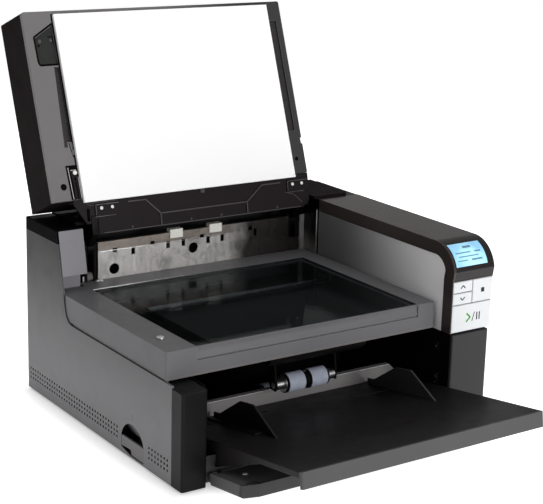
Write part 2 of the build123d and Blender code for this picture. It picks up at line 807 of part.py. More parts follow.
def flatbed_frame():
    """The top casing of the flatbed: border, scooped front, outer walls and the left corner by the tower."""
    z0 = bed_bottom_z + tub_floor
    frame = plan_solid(bed_plan(), z0, bed_top_z)
    frame = fillet(edges_along(frame, Axis.Z, (bed_left_x - 1, bed_front_y - 1, z0),
                               (bed_right_x + 1, 0, bed_top_z)), 3.0)
    low_y = bed_left_rear_low_y
    corner = [(low_y - cover_wall, z0), (low_y - cover_wall, bed_top_z), (low_y + 20.6, bed_top_z),
              (low_y + 18.9, z0 + 15.0), (low_y + 17.6, z0 + 9.5), (low_y + 14.5, z0 + 4.2),
              (low_y + 8.7, z0)]
    under_skin = bed_top_z - bed_top_skin
    hollow = block(bed_left_x + cover_wall, bed_right_x - cover_wall, bed_front_y + bed_front_wall,
                   low_y - cover_wall,
                   z0 - 1, under_skin)
    hollow += block(bed_step_left_x + cover_wall, bed_right_x - cover_wall, 0, bed_step_rear_y - cover_wall,
                    z0 - 1,
                    under_skin)
    hollow += block(bed_shelf_left_x + cover_wall, bed_right_x - cover_wall, 0, bed_shelf_rear_y - cover_wall,
                    z0 - 1, under_skin)
    frame -= hollow
    frame += side_solid(corner, bed_left_x, bed_step_left_x + 0.5)
    crease = bed_front_y + 0.7
    scoop = side_solid([(bed_front_y - 1, bed_top_z + 1), (crease, bed_top_z + 1), (crease, bed_top_z - 0.4),
                        (bed_front_y + 1.8, bed_top_z - 3), (bed_front_y + bed_scoop_depth, bed_top_z - 6),
                        (bed_front_y + 1.8, bed_top_z - 9), (crease, bed_crease_z),
                        (bed_front_y + bed_groove + 1, bed_crease_z - 0.7),
                        (bed_front_y + bed_groove + 1, bed_crease_z - 2.2),
                        (bed_front_y - 1, bed_crease_z - 2.2)],
                       glass_left_x, glass_right_x)
    frame -= scoop
    opening_front = glass_front_y + glass_ledge
    frame -= block(glass_left_x + glass_ledge, glass_right_x - glass_ledge, opening_front,
                   glass_rear_y - glass_ledge,
                   z0, bed_top_z + 1)
    frame -= block(glass_left_x - glass_clearance, glass_right_x + glass_clearance,
                   glass_front_y - glass_clearance,
                   glass_rear_y + glass_clearance, bed_top_z - glass_thickness, bed_top_z + 1)
    ledge = block(glass_left_x - 4, glass_right_x + 4, glass_front_y + 1.0, glass_rear_y + 4,
                  bed_top_z - glass_thickness - 2.0, bed_top_z - glass_thickness)
    ledge -= block(glass_left_x + glass_ledge, glass_right_x - glass_ledge, opening_front,
                   glass_rear_y - glass_ledge,
                   z0, bed_top_z + 1)
    frame += ledge
    for x in (arm_left_x, arm_right_x):
        middle = x + arm_width / 2
        half = lift_arm_width / 2 + seam_gap
        frame -= block(middle - half, middle + half, bed_shelf_rear_y - 8, bed_shelf_rear_y + 1, z0 - 1,
                       lift_arm_top_z + seam_gap)
    return frame


def rail_lines():
    """Places of the two carriage rails along Y."""
    return (rail_front_y, rail_rear_y)


def flatbed_tub():
    """The tray under the flatbed, with end walls for the rails and the two rear arms that it lifts on."""
    tub = plan_solid(bed_plan(0.4), bed_bottom_z, bed_bottom_z + tub_floor)
    wall_top = rail_z + 6
    x0 = bed_left_x + cover_wall + seam_gap
    x1 = bed_right_x - cover_wall - seam_gap
    z0 = bed_bottom_z + tub_floor
    for x in (x0, x1 - cover_wall):
        tub += block(x, x + cover_wall, bed_front_y + bed_front_wall + seam_gap,
                     bed_left_rear_low_y - cover_wall - seam_gap,
                     z0, wall_top)
    for y in rail_lines():
        for x in (x0, x1 - cover_wall - 4):
            tub += block(x, x + cover_wall + 4, y - 6, y + 6, z0, wall_top)
        tub -= rod_x(x0 + cover_wall, x1 - cover_wall, y, rail_z, rail_radius)
    for x in (arm_left_x, arm_right_x):
        middle = x + arm_width / 2
        half = lift_arm_width / 2
        arm = side_solid([(bed_shelf_rear_y - 7, bed_bottom_z), (lift_axis_y + 1, bed_bottom_z),
                          (lift_axis_y + 6, bed_bottom_z + 7), (lift_axis_y + 6, lift_axis_z),
                          (lift_axis_y - 3, lift_axis_z), (lift_axis_y - 3, lift_arm_top_z),
                          (bed_shelf_rear_y - 7, lift_arm_top_z)], middle - half, middle + half)
        tub += arm + rod_x(middle - half, middle + half, lift_axis_y, lift_axis_z, lift_knuckle_radius)
        tub -= rod_x(middle - half - 1, middle + half + 1, lift_axis_y, lift_axis_z,
                     lift_pin_radius + running_clearance)
    return tub


def carriage_rails():
    """Two steel rods that the carriage slides on."""
    x0 = bed_left_x + cover_wall + seam_gap + cover_wall
    x1 = bed_right_x - cover_wall - seam_gap - cover_wall
    return Compound(children=[rod_x(x0, x1, y, rail_z, rail_radius) for y in rail_lines()])


def scan_carriage():
    """The carriage with its lamp in a trough."""
    x0 = carriage_left_x
    x1 = x0 + carriage_width
    y0 = rail_front_y - 9
    y1 = rail_rear_y + 9
    carriage = block(x0, x1, y0, y1, carriage_bottom_z, carriage_top_z)
    carriage -= block(x0 + 6, x1 - 6, y0 + 5, y1 - 5, carriage_top_z - 6, carriage_top_z + 1)
    carriage += block(x0 + 9, x1 - 9, y0 + 7, y1 - 7, carriage_top_z - 6, carriage_top_z - 1)
    for y in rail_lines():
        carriage -= rod_x(x0 - 1, x1 + 1, y, rail_z, rail_radius + running_clearance)
    return carriage


def platen_glass():
    """The glass plate of the flatbed."""
    z0 = bed_top_z - glass_thickness
    return block(glass_left_x, glass_right_x, glass_front_y, glass_rear_y, z0, bed_top_z - 0.2)


def lid_bumper():
    """The round metal button on the flatbed's left border that the lid closes onto."""
    stud = rod_z(lid_button_x, lid_button_y, bed_top_z, bed_top_z + lid_button_height, lid_button_radius)
    return fillet(stud.edges().sort_by(Axis.Z)[-1], 1.2)


def feed_housing():
    """The sheet feeder's housing under the flatbed, with two ears for the roller."""
    half = feed_housing_half_width
    front_top = bed_front_y + 6
    front_low = feed_y - 22
    rear = feed_y + 60
    low_z = bed_bottom_z - feed_housing_depth
    body = side_solid([(front_top, bed_bottom_z), (rear, bed_bottom_z), (rear, low_z), (front_low, low_z),
                       (front_top, bed_bottom_z - 6)], feed_x - half, feed_x + half)
    reach = feed_hub_width + feed_flange_width + feed_tyre_inner + feed_tyre_width
    body -= block(feed_x - reach - 8, feed_x + reach + 8, feed_y - 15, feed_y + 17, 0, bed_bottom_z - 5)
    for side in (-1, 1):
        x = feed_x + side * (reach + feed_ear_gap + feed_ear_thickness / 2)
        ear = side_solid([(feed_y + 2, bed_bottom_z), (feed_y + 14, bed_bottom_z), (feed_y + 6, feed_z - 5),
                          (feed_y - 5, feed_z - 6), (feed_y - 5, feed_z + 6)], x - feed_ear_thickness / 2,
                         x + feed_ear_thickness / 2)
        body += ear
        body -= rod_x(x - 5, x + 5, feed_y, feed_z, feed_shaft_radius + running_clearance)
    for x in (feed_x - half + 4.6, feed_x + half - 4.6):
        body += rod_z(x, feed_y - 16, low_z - 1.2, low_z, 3.0)
    return body


def feed_roller_core():
    """The feed roller's shaft with its metal hubs and flanges."""
    reach = feed_tyre_inner + feed_tyre_width + feed_flange_width
    end = reach + feed_hub_width
    core = rod_x(feed_x - end - feed_ear_thickness, feed_x + end + feed_ear_thickness, feed_y, feed_z,
                 feed_shaft_radius)
    for side in (-1, 1):
        hub = sorted((feed_x + side * reach, feed_x + side * end))
        core += rod_x(hub[0], hub[1], feed_y, feed_z, feed_hub_radius)
        flange = sorted((feed_x + side * (reach - feed_flange_width + 0.2), feed_x + side * reach))
        core += rod_x(flange[0], flange[1], feed_y, feed_z, feed_flange_radius)
    core += rod_x(feed_x - feed_tyre_inner + 0.2, feed_x + feed_tyre_inner - 0.2, feed_y, feed_z,
                  feed_flange_radius)
    core += block(feed_x - 1.5, feed_x + 1.5, feed_y - 1.5, feed_y + 1.5, feed_z + feed_flange_radius - 1,
                  feed_z + feed_flange_radius + 0.8)
    return core


def feed_tyres():
    """The two rubber tyres of the feed roller."""
    tyres = []
    for side in (-1, 1):
        span = sorted((feed_x + side * feed_tyre_inner, feed_x + side * (feed_tyre_inner + feed_tyre_width)))
        tyre = rod_x(span[0], span[1], feed_y, feed_z, feed_tyre_radius)
        tyres.append(tyre - rod_x(span[0] - 1, span[1] + 1, feed_y, feed_z, feed_shaft_radius))
    return Compound(children=tyres)


def feed_bay():
    """The two inner walls beside the sheets, joined under the floor line by a cross tie."""
    walls = []
    for x in (bay_left_x, bay_right_x):
        wall = block(x, x + bay_wall, bay_front_y, bay_rear_y, floor_top_z, bay_top_z)
        wall -= rod_x(x - 1, x + bay_wall + 1, transport_y, transport_z,
                      transport_shaft_radius + running_clearance)
        walls.append(wall)
    tie = block(bay_left_x + bay_wall, bay_right_x, bay_rear_y - 30, bay_rear_y - 26, floor_top_z,
                bay_top_z - 8)
    bay = walls[0] + walls[1] + tie
    return bay


def front_fascia():
    """The low front wall behind the flap, with two hinge lugs and their pins."""
    fascia = block(bay_left_x, bay_right_x + bay_wall, fascia_front_y, fascia_front_y + fascia_thickness,
                   underside_z, fascia_top_z)
    for x in lug_places():
        lug = block(x, x + flap_lug_width, flap_axis_y - 4, fascia_front_y, flap_axis_z - 4, flap_axis_z + 4)
        fascia += lug + rod_x(x, x + flap_lug_width, flap_axis_y - 1, flap_axis_z, 4.0)
        fascia += rod_x(x - 5, x + flap_lug_width + 5, flap_axis_y, flap_axis_z, flap_pin_radius)
    return fascia


def lug_places():
    """Left edges of the flap's two hinge lugs."""
    return (flap_left_x + flap_lug_inset, flap_right_x - flap_lug_inset - flap_lug_width)


def flap_place(solid):
    """Tilt a solid drawn level about the flap's axis and set it there."""
    return Pos(0, flap_axis_y, flap_axis_z) * Rot(-flap_tilt_deg, 0, 0) * solid


def flap_plan(inset, z0, z1, rear=3.2):
    """The flap's plan with its two cut corners, level, from z0 to z1."""
    x0 = flap_left_x + inset
    x1 = flap_right_x - inset
    y0 = -flap_length + inset
    cx = flap_corner_x - inset * 0.4
    cy = flap_corner_y - inset * 0.4
    return plan_solid([(x0, -rear), (x0, y0 + cy), (x0 + cx, y0), (x1 - cx, y0), (x1, y0 + cy),
                       (x1, -rear)], z0, z1)


def front_flap():
    """The outer shell of the front flap, with hinge ears and corner ledges."""
    half = flap_thickness / 2
    shell = flap_plan(0, -half, half)
    rim_edges = [e for e in shell.edges() if e.center().Z < -half + 0.01 and e.center().Y < -5]
    shell = fillet(rim_edges, 2.0)
    shell -= flap_plan(flap_wall, -half + flap_wall, half + 1, rear=3.2 + flap_wall)
    for x in (flap_left_x + flap_wall, flap_right_x - flap_wall):
        inward = 1 if x < 0 else -1
        corner = [(x, -flap_length + flap_corner_y + 1), (x + inward * 17, -flap_length + 18),
                  (x + inward * 19, -flap_length + flap_wall - 1),
                  (x + inward * 12, -flap_length + flap_wall - 1)]
        shell += plan_solid(corner, -half + flap_wall, half) & flap_plan(0.5, -half, half)
    for x in lug_places():
        shell += rod_x(x - 6, x + flap_lug_width + 6, 0, 0, 5.0)
        shell += block(x - 6, x + flap_lug_width + 6, -6, 0, -5, 5)
        shell -= block(x - 0.4, x + flap_lug_width + 0.4, -8, 8, -half, half + 1)
        shell -= rod_x(x - 7, x + flap_lug_width + 7, 0, 0, flap_pin_radius + running_clearance)
    return flap_place(shell)


def flap_liner_plate():
    """The black inner plate of the flap with its two screws."""
    half = flap_thickness / 2
    top = half - 0.6
    inset = flap_wall + 0.2
    plate = flap_plan(inset, top - flap_liner, top, rear=3.2 + flap_wall + 3.0)
    for x in (flap_left_x + flap_wall, flap_right_x - flap_wall):
        inward = 1 if x < 0 else -1
        corner = [(x - inward * 3, -flap_length + flap_corner_y + 0.6),
                  (x + inward * 17.2, -flap_length + 18.3),
                  (x + inward * 19.4, -flap_length - 1), (x - inward * 3, -flap_length - 1)]
        plate -= plan_solid(corner, -half, half + 1)
    for x in lug_places():
        plate -= block(x - 7, x + flap_lug_width + 7, -9, 9, -half, half + 1)
    for x in (flap_left_x + flap_screw_inset, flap_right_x - flap_screw_inset):
        plate += rod_z(x, -flap_screw_along, -half + flap_wall, top - flap_liner, 3.0)
        plate += rod_z(x, -flap_screw_along, top, top + 0.6, 2.6)
    return flap_place(plate)


def tray_place(solid):
    """Tilt a solid drawn level about the tray's reference line and set it there."""
    return Pos(0, tray_pivot_y, tray_pivot_z) * Rot(-tray_tilt_deg, 0, 0) * solid


def tray_point(x, along, up):
    """A point given in the tray's level drawing, as it lies on the machine."""
    tilt = math.radians(tray_tilt_deg)
    return (x, tray_pivot_y + along * math.cos(tilt) + up * math.sin(tilt),
            tray_pivot_z - along * math.sin(tilt) + up * math.cos(tilt))


def guide_right_face_x():
    """Inner face of the right guide, as far from the path's middle as the left one."""
    return 2 * path_x - guide_left_face_x


def stem_along(side):
    """Where a guide's stem passes through the tray, from the pinion's centre line."""
    pitch = gear_module * pinion_teeth / 2
    return pinion_along - side * (pitch + tooth_dedendum + rack_height / 2)


def tray_plate():
    """The tray: deep at the rear for the racks, thin in front over the extender."""
    side = tray_side_wall
    inner_left = tray_left_x + side
    inner_right = tray_right_x - side
    low = -tray_thickness + 3.0
    plate = block(tray_left_x, tray_right_x, tray_deep_front, tray_rear, -tray_thickness, 0)
    plate += block(tray_left_x, tray_right_x, tray_front, tray_deep_front, -tray_front_thickness, 0)
    edges = edges_along(plate, Axis.Y, (tray_left_x - 1, tray_front, -0.1),
                        (tray_right_x + 1, tray_rear, 0.1))
    plate = fillet(edges, 0.8)
    sheet_room = -tray_skin - slide_clearance - extender_thickness - slide_clearance
    plate -= block(inner_left, inner_right, tray_front - 1, tray_deep_front + 2, sheet_room, -tray_skin)
    plate -= block(inner_left + tray_ledge, inner_right - tray_ledge, tray_front - 1, tray_deep_front,
                   -tray_front_thickness - 1, -tray_skin)
    plate -= block(inner_left, inner_right, tray_deep_front + 4, tray_rear - 60, low, -tray_skin)
    plate -= block(tray_left_x + 6, tray_right_x - 6, tray_rear - 58.5, tray_rear - 14, low, -tray_skin)
    skirt = [(tray_skirt_front, -tray_skin), (tray_skirt_front, -tray_front_thickness),
             (tray_skirt_rear, -tray_skirt_depth), (tray_skirt_rear_top, -tray_front_thickness),
             (tray_skirt_rear_top, -tray_skin)]
    for x in (tray_left_x, inner_right):
        plate += side_solid(skirt, x, x + side)
    for sign, face in ((-1, guide_left_face_x), (1, guide_right_face_x())):
        middle = face + sign * (guide_thickness / 2 + guide_stem_offset)
        reach = sorted((middle + sign * (guide_out_travel + stem_width / 2 + 1),
                        middle - sign * (guide_in_travel + stem_width / 2 + 1)))
        along = stem_along(sign)
        plate -= block(reach[0], reach[1], along - slot_width / 2, along + slot_width / 2, -tray_skin - 1, 1)
    plate += rod_z(path_x, pinion_along, -tray_thickness + 2.0, -tray_skin, pinion_pin_radius)
    placed = tray_place(plate)
    for x in (tray_left_x + tray_post_inset, tray_right_x - tray_post_inset):
        y = tray_point(0, tray_post_along, 0)[1]
        top = tray_point(0, tray_post_along, -tray_thickness + 1.5)[2]
        placed += rod_z(x, y, floor_top_z + 0.3, top, tray_post_radius)
    return placed


def tray_extender():
    """The pull-out sheet under the tray's front with its lip."""
    x0 = tray_left_x + tray_side_wall + slide_clearance
    x1 = tray_right_x - tray_side_wall - slide_clearance
    top = -tray_skin - slide_clearance
    sheet = block(x0, x1, extender_front + 1, extender_rear, top - extender_thickness, top)
    lip = block(tray_left_x, tray_right_x, extender_front, extender_front + extender_lip,
                -extender_lip_height, 0)
    lip_corners = edges_along(lip, Axis.Z, (tray_left_x - 1, extender_front - 0.1, -extender_lip_height),
                              (tray_right_x + 1, extender_front + 0.1, 0))
    lip = fillet(lip_corners, 2.5)
    return tray_place(sheet + lip)


def rack_teeth(x0, x1, toward):
    """Rack teeth along X between x0 and x1 that point along Y towards the pinion."""
    pitch = math.pi * gear_module
    pitch_line = 0.0
    half = pitch * tooth_share / 2
    slope = math.tan(math.radians(20))
    count = int((x1 - x0) // pitch)
    first = math.ceil((x0 - path_x) / pitch - 0.5) + 0.5
    teeth = []
    for index in range(count):
        x = path_x + (first + index) * pitch
        if x + half + 1 > x1:
            break
        tip = tooth_addendum
        root = tooth_dedendum
        teeth.append([(x - half - root * slope, pitch_line - toward * (root + 0.1)),
                      (x - half + tip * slope, pitch_line + toward * tip),
                      (x + half - tip * slope, pitch_line + toward * tip),
                      (x + half + root * slope, pitch_line - toward * (root + 0.1))])
    return teeth


def side_guide(sign):
    """A side guide: fin, flange, stem and rack. sign is -1 for the left guide and 1 for the right."""
    face = guide_left_face_x if sign < 0 else guide_right_face_x()
    outer = face + sign * guide_thickness
    span = sorted((face, outer))
    fin = side_solid([(-34.8, slide_clearance), (6.7, guide_fin_height), (34.1, guide_fin_height - 0.4),
                      (78.5, 6.8), (90, 6.8), (90, slide_clearance)], span[0], span[1])
    flange = sorted((face, outer + sign * guide_flange))
    foot = block(flange[0], flange[1], -8, 90, slide_clearance, slide_clearance + 1.8)
    middle = face + sign * (guide_thickness / 2 + guide_stem_offset)
    along = stem_along(sign)
    rack_mid_z = -tray_skin - 0.3 - rack_thickness / 2
    stem = block(middle - stem_width / 2, middle + stem_width / 2, along - stem_width / 2,
                 along + stem_width / 2,
                 rack_mid_z, slide_clearance + 1)
    far = path_x - sign * (guide_out_travel + 6)
    bar_x = sorted((middle + sign * stem_width / 2, far))
    toward = sign
    pitch_radius = gear_module * pinion_teeth / 2
    pitch_y = pinion_along - sign * pitch_radius
    bar_near = pitch_y - toward * tooth_dedendum
    bar_far = bar_near - toward * rack_height
    bar_y = sorted((bar_near, bar_far))
    bar = block(bar_x[0], bar_x[1], bar_y[0], bar_y[1], rack_mid_z - rack_thickness / 2,
                rack_mid_z + rack_thickness / 2)
    teeth_x = sorted((far, path_x + sign * (guide_in_travel + 6)))
    for tooth in rack_teeth(teeth_x[0], teeth_x[1], toward):
        placed = [(x, y + pitch_y) for x, y in tooth]
        bar += plan_solid(placed, rack_mid_z - rack_thickness / 2, rack_mid_z + rack_thickness / 2)
    return tray_place(fin + foot + stem + bar)


def guide_pinion():
    """The pinion that joins both racks."""
    pitch_radius = gear_module * pinion_teeth / 2
    root_radius = pitch_radius - tooth_dedendum
    tip_radius = pitch_radius + tooth_addendum
    mid_z = -tray_skin - 0.3 - rack_thickness / 2
    z0 = mid_z - pinion_thickness / 2 + 0.2
    z1 = mid_z + rack_thickness / 2
    gear = rod_z(path_x, pinion_along, z0, z1, root_radius)
    half = math.pi * gear_module * tooth_share / 2
    slope = math.tan(math.radians(20))
    for index in range(pinion_teeth):
        angle = 360 / pinion_teeth * index
        tooth = plan_solid([(root_radius - 0.5, -half - tooth_dedendum * slope),
                            (tip_radius, -half + tooth_addendum * slope),
                            (tip_radius, half - tooth_addendum * slope),
                            (root_radius - 0.5, half + tooth_dedendum * slope)],
                           z0, z1)
        gear += Pos(path_x, pinion_along, 0) * Rot(0, 0, angle) * tooth
    gear -= rod_z(path_x, pinion_along, z0 - 1, z1 + 1, pinion_pin_radius + running_clearance)
    return tray_place(gear)


def feed_ramp():
    """The upright plate that the stack's rear edge rests on, with a folded top."""
    plate = block(ramp_left_x, ramp_right_x, ramp_y, ramp_y + ramp_thickness, floor_top_z, ramp_top_z)
    top = block(ramp_left_x, ramp_right_x, ramp_y, ramp_y + 7, ramp_top_z - ramp_thickness, ramp_top_z)
    corner = [(ramp_right_x - 9, ramp_top_z + 1), (ramp_right_x + 1, ramp_top_z + 1),
              (ramp_right_x + 1, ramp_top_z - 9)]
    return plate + top - front_solid(corner, ramp_y - 1, ramp_y + 10)


def separation_roller():
    """The separation roller behind the ramp, on its own shaft."""
    end = separator_half_length
    roller = rod_x(feed_x - end - 4.5, feed_x + end + 4.5, separator_y, separator_z, feed_shaft_radius)
    roller += rod_x(feed_x - end, feed_x + end, separator_y, separator_z, separator_radius)
    for index in range(3):
        x = feed_x - 14 + index * 14
        roller -= rod_x(x - 1, x + 1, separator_y, separator_z, separator_radius + 1) - rod_x(
            x - 2, x + 2, separator_y, separator_z, separator_radius - 1)
    return roller - block(feed_x + end - 3, feed_x + end + 1, separator_y - 1, separator_y + 1,
                          separator_z + separator_radius - 1.5, separator_z + separator_radius + 1)


def transport_roller():
    """The long transport shaft with its tyres."""
    shaft = rod_x(bay_left_x, bay_right_x + bay_wall, transport_y, transport_z, transport_shaft_radius)
    span = transport_pitch * (transport_count - 1)
    for index in range(transport_count):
        x = path_x - span / 2 + index * transport_pitch
        shaft += rod_x(x - transport_tyre_width / 2, x + transport_tyre_width / 2, transport_y, transport_z,
                       transport_tyre_radius)
    x = path_x - span / 2
    return shaft - block(x - 12, x - 9, transport_y - 1, transport_y + 1,
                         transport_z + transport_tyre_radius - 1.5,
                         transport_z + transport_tyre_radius + 1)


def release_lever():
    """The grip, nearly flush with the left cover, turning out on a pin along Y."""
    y0 = lever_y0 + 0.6
    y1 = lever_y1 - 0.6
    face_x = case_left_x + lever_sunk
    low = lever_bottom_z
    grip = side_solid([(y0, low), (y1 - 23, low), (y1 - 20.5, low + 5.6), (y1, low + 4.2), (y1, lever_top_z),
                       (y0, lever_top_z)], face_x, face_x + lever_thickness)
    barrel = rod_y(lever_axis_x, y0, y1, lever_axis_z, 3.0)
    web = block(face_x + 0.5, lever_axis_x, y0, y1, lever_axis_z - 1.2, lever_axis_z + 1.2)
    pin = rod_y(lever_axis_x, lever_y0 - 1.2, lever_y1 + 1.2, lever_axis_z, lever_pin_radius)
    return grip + barrel + web + pin


def lid_place(solid):
    """Turn a solid drawn with the lid closed to the open lid of the rest pose."""
    return Pos(0, hinge_y, hinge_z) * Rot(-lid_open_deg, 0, 0) * Pos(0, -hinge_y, -hinge_z) * solid


def lid_shell():
    """The lid's casing, open towards the glass, its rear end leaning, with a shallow tray in its top."""
    z0 = lid_inner_z + lid_frame_depth
    z1 = lid_inner_z + lid_depth
    lean = lid_rear_lean / lid_depth
    rear_low = lid_rear_y + lean * lid_frame_depth
    rear_high = lid_rear_y + lid_rear_lean
    shell = side_solid([(lid_front_y, z0), (rear_low, z0), (rear_high, z1), (lid_front_y, z1)], lid_left_x,
                       lid_right_x)
    front_edges = edges_along(shell, Axis.Z, (lid_left_x - 1, lid_front_y - 1, z0),
                              (lid_right_x + 1, lid_front_y + 1, z1))
    shell = fillet(front_edges, lid_edge_radius)
    shell = fillet([e for e in shell.edges() if e.center().Z > z1 - 0.1], 1.2)
    shell -= side_solid([(lid_front_y + cover_wall, z0 - 1), (rear_low - cover_wall, z0 - 1),
                         (rear_high - cover_wall, z1 - cover_wall - 3),
                         (lid_front_y + cover_wall, z1 - cover_wall - 3)],
                        lid_left_x + cover_wall, lid_right_x - cover_wall)
    recess = block(lid_left_x + 40, lid_right_x - 40, lid_front_y - 1, lid_rear_y - 30, z1 - 3, z1 + 1)
    return lid_place(shell - recess)


def lid_inner_frame():
    """The lid's inner face: a frame with channels beside the pad, a recess, holes and a notch."""
    z0 = lid_inner_z
    z1 = lid_inner_z + lid_frame_depth
    lean = lid_rear_lean / lid_depth
    frame = side_solid([(lid_front_y, z0), (lid_rear_y, z0), (lid_rear_y + lean * lid_frame_depth, z1),
                        (lid_front_y, z1)], lid_left_x, lid_right_x)
    front_edges = edges_along(frame, Axis.Z, (lid_left_x - 1, lid_front_y - 1, z0),
                              (lid_right_x + 1, lid_front_y + 1, z1))
    frame = fillet(front_edges, lid_edge_radius)
    frame -= block(pad_left_x - 0.3, pad_right_x + 0.3, pad_front_y - 0.3, pad_seat_rear_y + 0.3, z0 - 1,
                   z0 + foam_thickness)
    deep = z0 + 3.0
    frame -= block(pad_left_x - 8.0, pad_left_x - 1.5, lid_front_y + 67, lid_front_y + 157, z0 - 1, deep)
    frame -= block(pad_right_x + 1.5, pad_right_x + 13.5, lid_front_y + 25, lid_front_y + 170, z0 - 1, deep)
    recess = [(pad_left_x - 1.5, lid_front_y + 14), (lid_left_x + 9.5, lid_front_y + 30),
              (lid_left_x + 10.5, lid_front_y + 61), (lid_left_x + 12.2, lid_front_y + 64.7),
              (pad_left_x - 1.5, lid_front_y + 64.7)]
    frame -= plan_solid(recess, z0 - 1, deep)
    for x, y, radius in ((lid_left_x + 16.5, lid_rear_y - 16.3, 4.0),
                         (lid_right_x - 13.0, lid_rear_y - 18.8, 3.0)):
        frame -= rod_z(x, y, z0 - 1, deep, radius)
    frame -= block(lid_right_x - 2.0, lid_right_x + 1, lid_rear_y - 45.5, lid_rear_y - 38.0, z0 - 1, z0 + 3)
    return lid_place(frame)


def lid_pad():
    """The white document pad on the lid, backed by foam in the frame's recess."""
    pad = block(pad_left_x, pad_right_x, pad_front_y, pad_seat_rear_y, lid_inner_z - pad_proud,
                lid_inner_z + foam_thickness)
    pad += block(pad_left_x, pad_right_x, pad_seat_rear_y, pad_rear_y, lid_inner_z - pad_proud,
                 lid_inner_z - 0.2)
    return lid_place(pad)


def tail_line(y):
    """Height of the tail's lower face at a place along Y."""
    share = (y - lid_rear_y) / (tail_rear_y - lid_rear_y)
    return lid_inner_z + (tail_rear_z - lid_inner_z) * share


def lid_tail():
    """The black tail behind the pad, with raised ribs, a window for the left arm and a slot beside it."""
    y0 = lid_rear_y
    near = y0 + 0.8
    y1 = tail_rear_y
    sheet = side_solid([(near, tail_line(near)), (y1, tail_line(y1)), (y1, tail_line(y1) + tail_thickness),
                        (near, tail_line(near) + tail_thickness)], tail_left_x, lid_right_x)
    z0 = lid_inner_z - 10
    z1 = lid_inner_z + 12
    window_left = arm_left_x - 0.6
    corner = [(tail_left_x - 1, y0 + 4), (tail_left_x + 15, y0 + 30), (window_left, y0 + 30),
              (window_left, y1 + 1),
              (tail_left_x - 1, y1 + 1)]
    sheet -= plan_solid(corner, z0, z1)
    sheet -= block(window_left - 0.1, arm_left_x + arm_width + 1.0, y0 + 21, y1 + 1, z0, z1)
    sheet -= block(arm_left_x - 5.5, arm_left_x - 1.5, y0 + 12, y0 + 27, z0, z1)
    sheet -= plan_solid([(lid_right_x + 1, y1 - 9), (lid_right_x + 1, y1 + 1), (lid_right_x - 11, y1 + 1)],
                        z0, z1)
    rim = block(tail_left_x, lid_right_x, y0 + 2.2, y0 + 4.0, tail_line(y0) + 1, tail_line(y0) + 16)
    sheet += rim
    for x0, x1, ya, yb in rib_lines():
        sheet += rib(x0, x1, ya, yb)
    return lid_place(sheet)


def rib_lines():
    """Centre lines of the tail's raised ribs, as x0, x1, y0, y1 in the closed lid's plan."""
    near = lid_rear_y + 9.5
    mid = lid_rear_y + 28
    far = tail_rear_y - 1.4
    left = path_x - 65
    right = path_x + 60
    left_end = screw_plate_left_x + screw_plate_width + rib_gap_left
    right_end = screw_plate_right_x - rib_gap_right
    return ((left_end, left - 20, near, near), (left - 20, left, near, mid), (left, right, mid, mid),
            (right, right + 24, mid, near), (right + 24, right_end, near, near), (left, left, mid, far),
            (right, right, mid, far))


def rib(x0, x1, y0, y1):
    """One raised rib on the tail's lower face, between two points of its plan."""
    width = 1.6
    height = 1.6
    length = math.hypot(x1 - x0, y1 - y0)
    nx = -(y1 - y0) / length * width / 2
    ny = (x1 - x0) / length * width / 2
    points = [(x0 + nx, y0 + ny), (x1 + nx, y1 + ny), (x1 - nx, y1 - ny), (x0 - nx, y0 - ny)]
    prism = plan_solid(points, lid_inner_z - 6, lid_inner_z + 2)
    slab = side_solid([(lid_rear_y, tail_line(lid_rear_y) - height),
                       (tail_rear_y, tail_line(tail_rear_y) - height),
                       (tail_rear_y, tail_line(tail_rear_y) + 1), (lid_rear_y, tail_line(lid_rear_y) + 1)],
                      tail_left_x, lid_right_x)
    return prism & slab


def lid_arms():
    """The two hinge arms, which reach from the lid's end and along the tail to the hinge."""
    arms = []
    root = lid_rear_y + 4.2
    bend = lid_rear_y + 21.4
    over = tail_thickness + 0.1
    near = bend - 4
    base = [(near, tail_line(near) + over), (near - 10, arm_lid_low_z), (root, arm_lid_low_z),
            (root, arm_lid_high_z),
            (hinge_y, hinge_z + arm_radius), (hinge_y, hinge_z - arm_radius)]
    shown = [(tail_rear_y + 2, tail_line(tail_rear_y) + 4.5), (tail_rear_y, tail_line(tail_rear_y)),
             (bend, tail_line(bend)), (bend, tail_line(bend) + over)]
    hidden = [(tail_rear_y, tail_line(tail_rear_y) + over)]
    for x, foot in ((arm_left_x, shown), (arm_right_x, hidden)):
        arm = side_solid(base + foot, x, x + arm_width)
        arm += rod_x(x, x + arm_width, hinge_y, hinge_z, arm_radius)
        arm -= rod_x(x - 1, x + arm_width + 1, hinge_y, hinge_z, hinge_pin_radius + running_clearance)
        arms.append(lid_place(arm))
    return Compound(children=arms)


def arm_screw_plates():
    """The two plates with screws that show on the tail's face."""
    plates = []
    y0 = lid_rear_y + 8.2
    y1 = y0 + screw_plate_depth
    for x in (screw_plate_left_x, screw_plate_right_x):
        plate = side_solid([(y0, tail_line(y0) - 2.4), (y1, tail_line(y1) - 2.4), (y1, tail_line(y1)),
                            (y0, tail_line(y0))], x, x + screw_plate_width)
        for dx in (7.2, screw_plate_width - 9.5):
            middle = y0 + 5.2
            plate += rod_z(x + dx, middle, tail_line(middle) - 3.6, tail_line(middle) - 0.8, 2.4)
        plates.append(lid_place(plate))
    return Compound(children=plates)


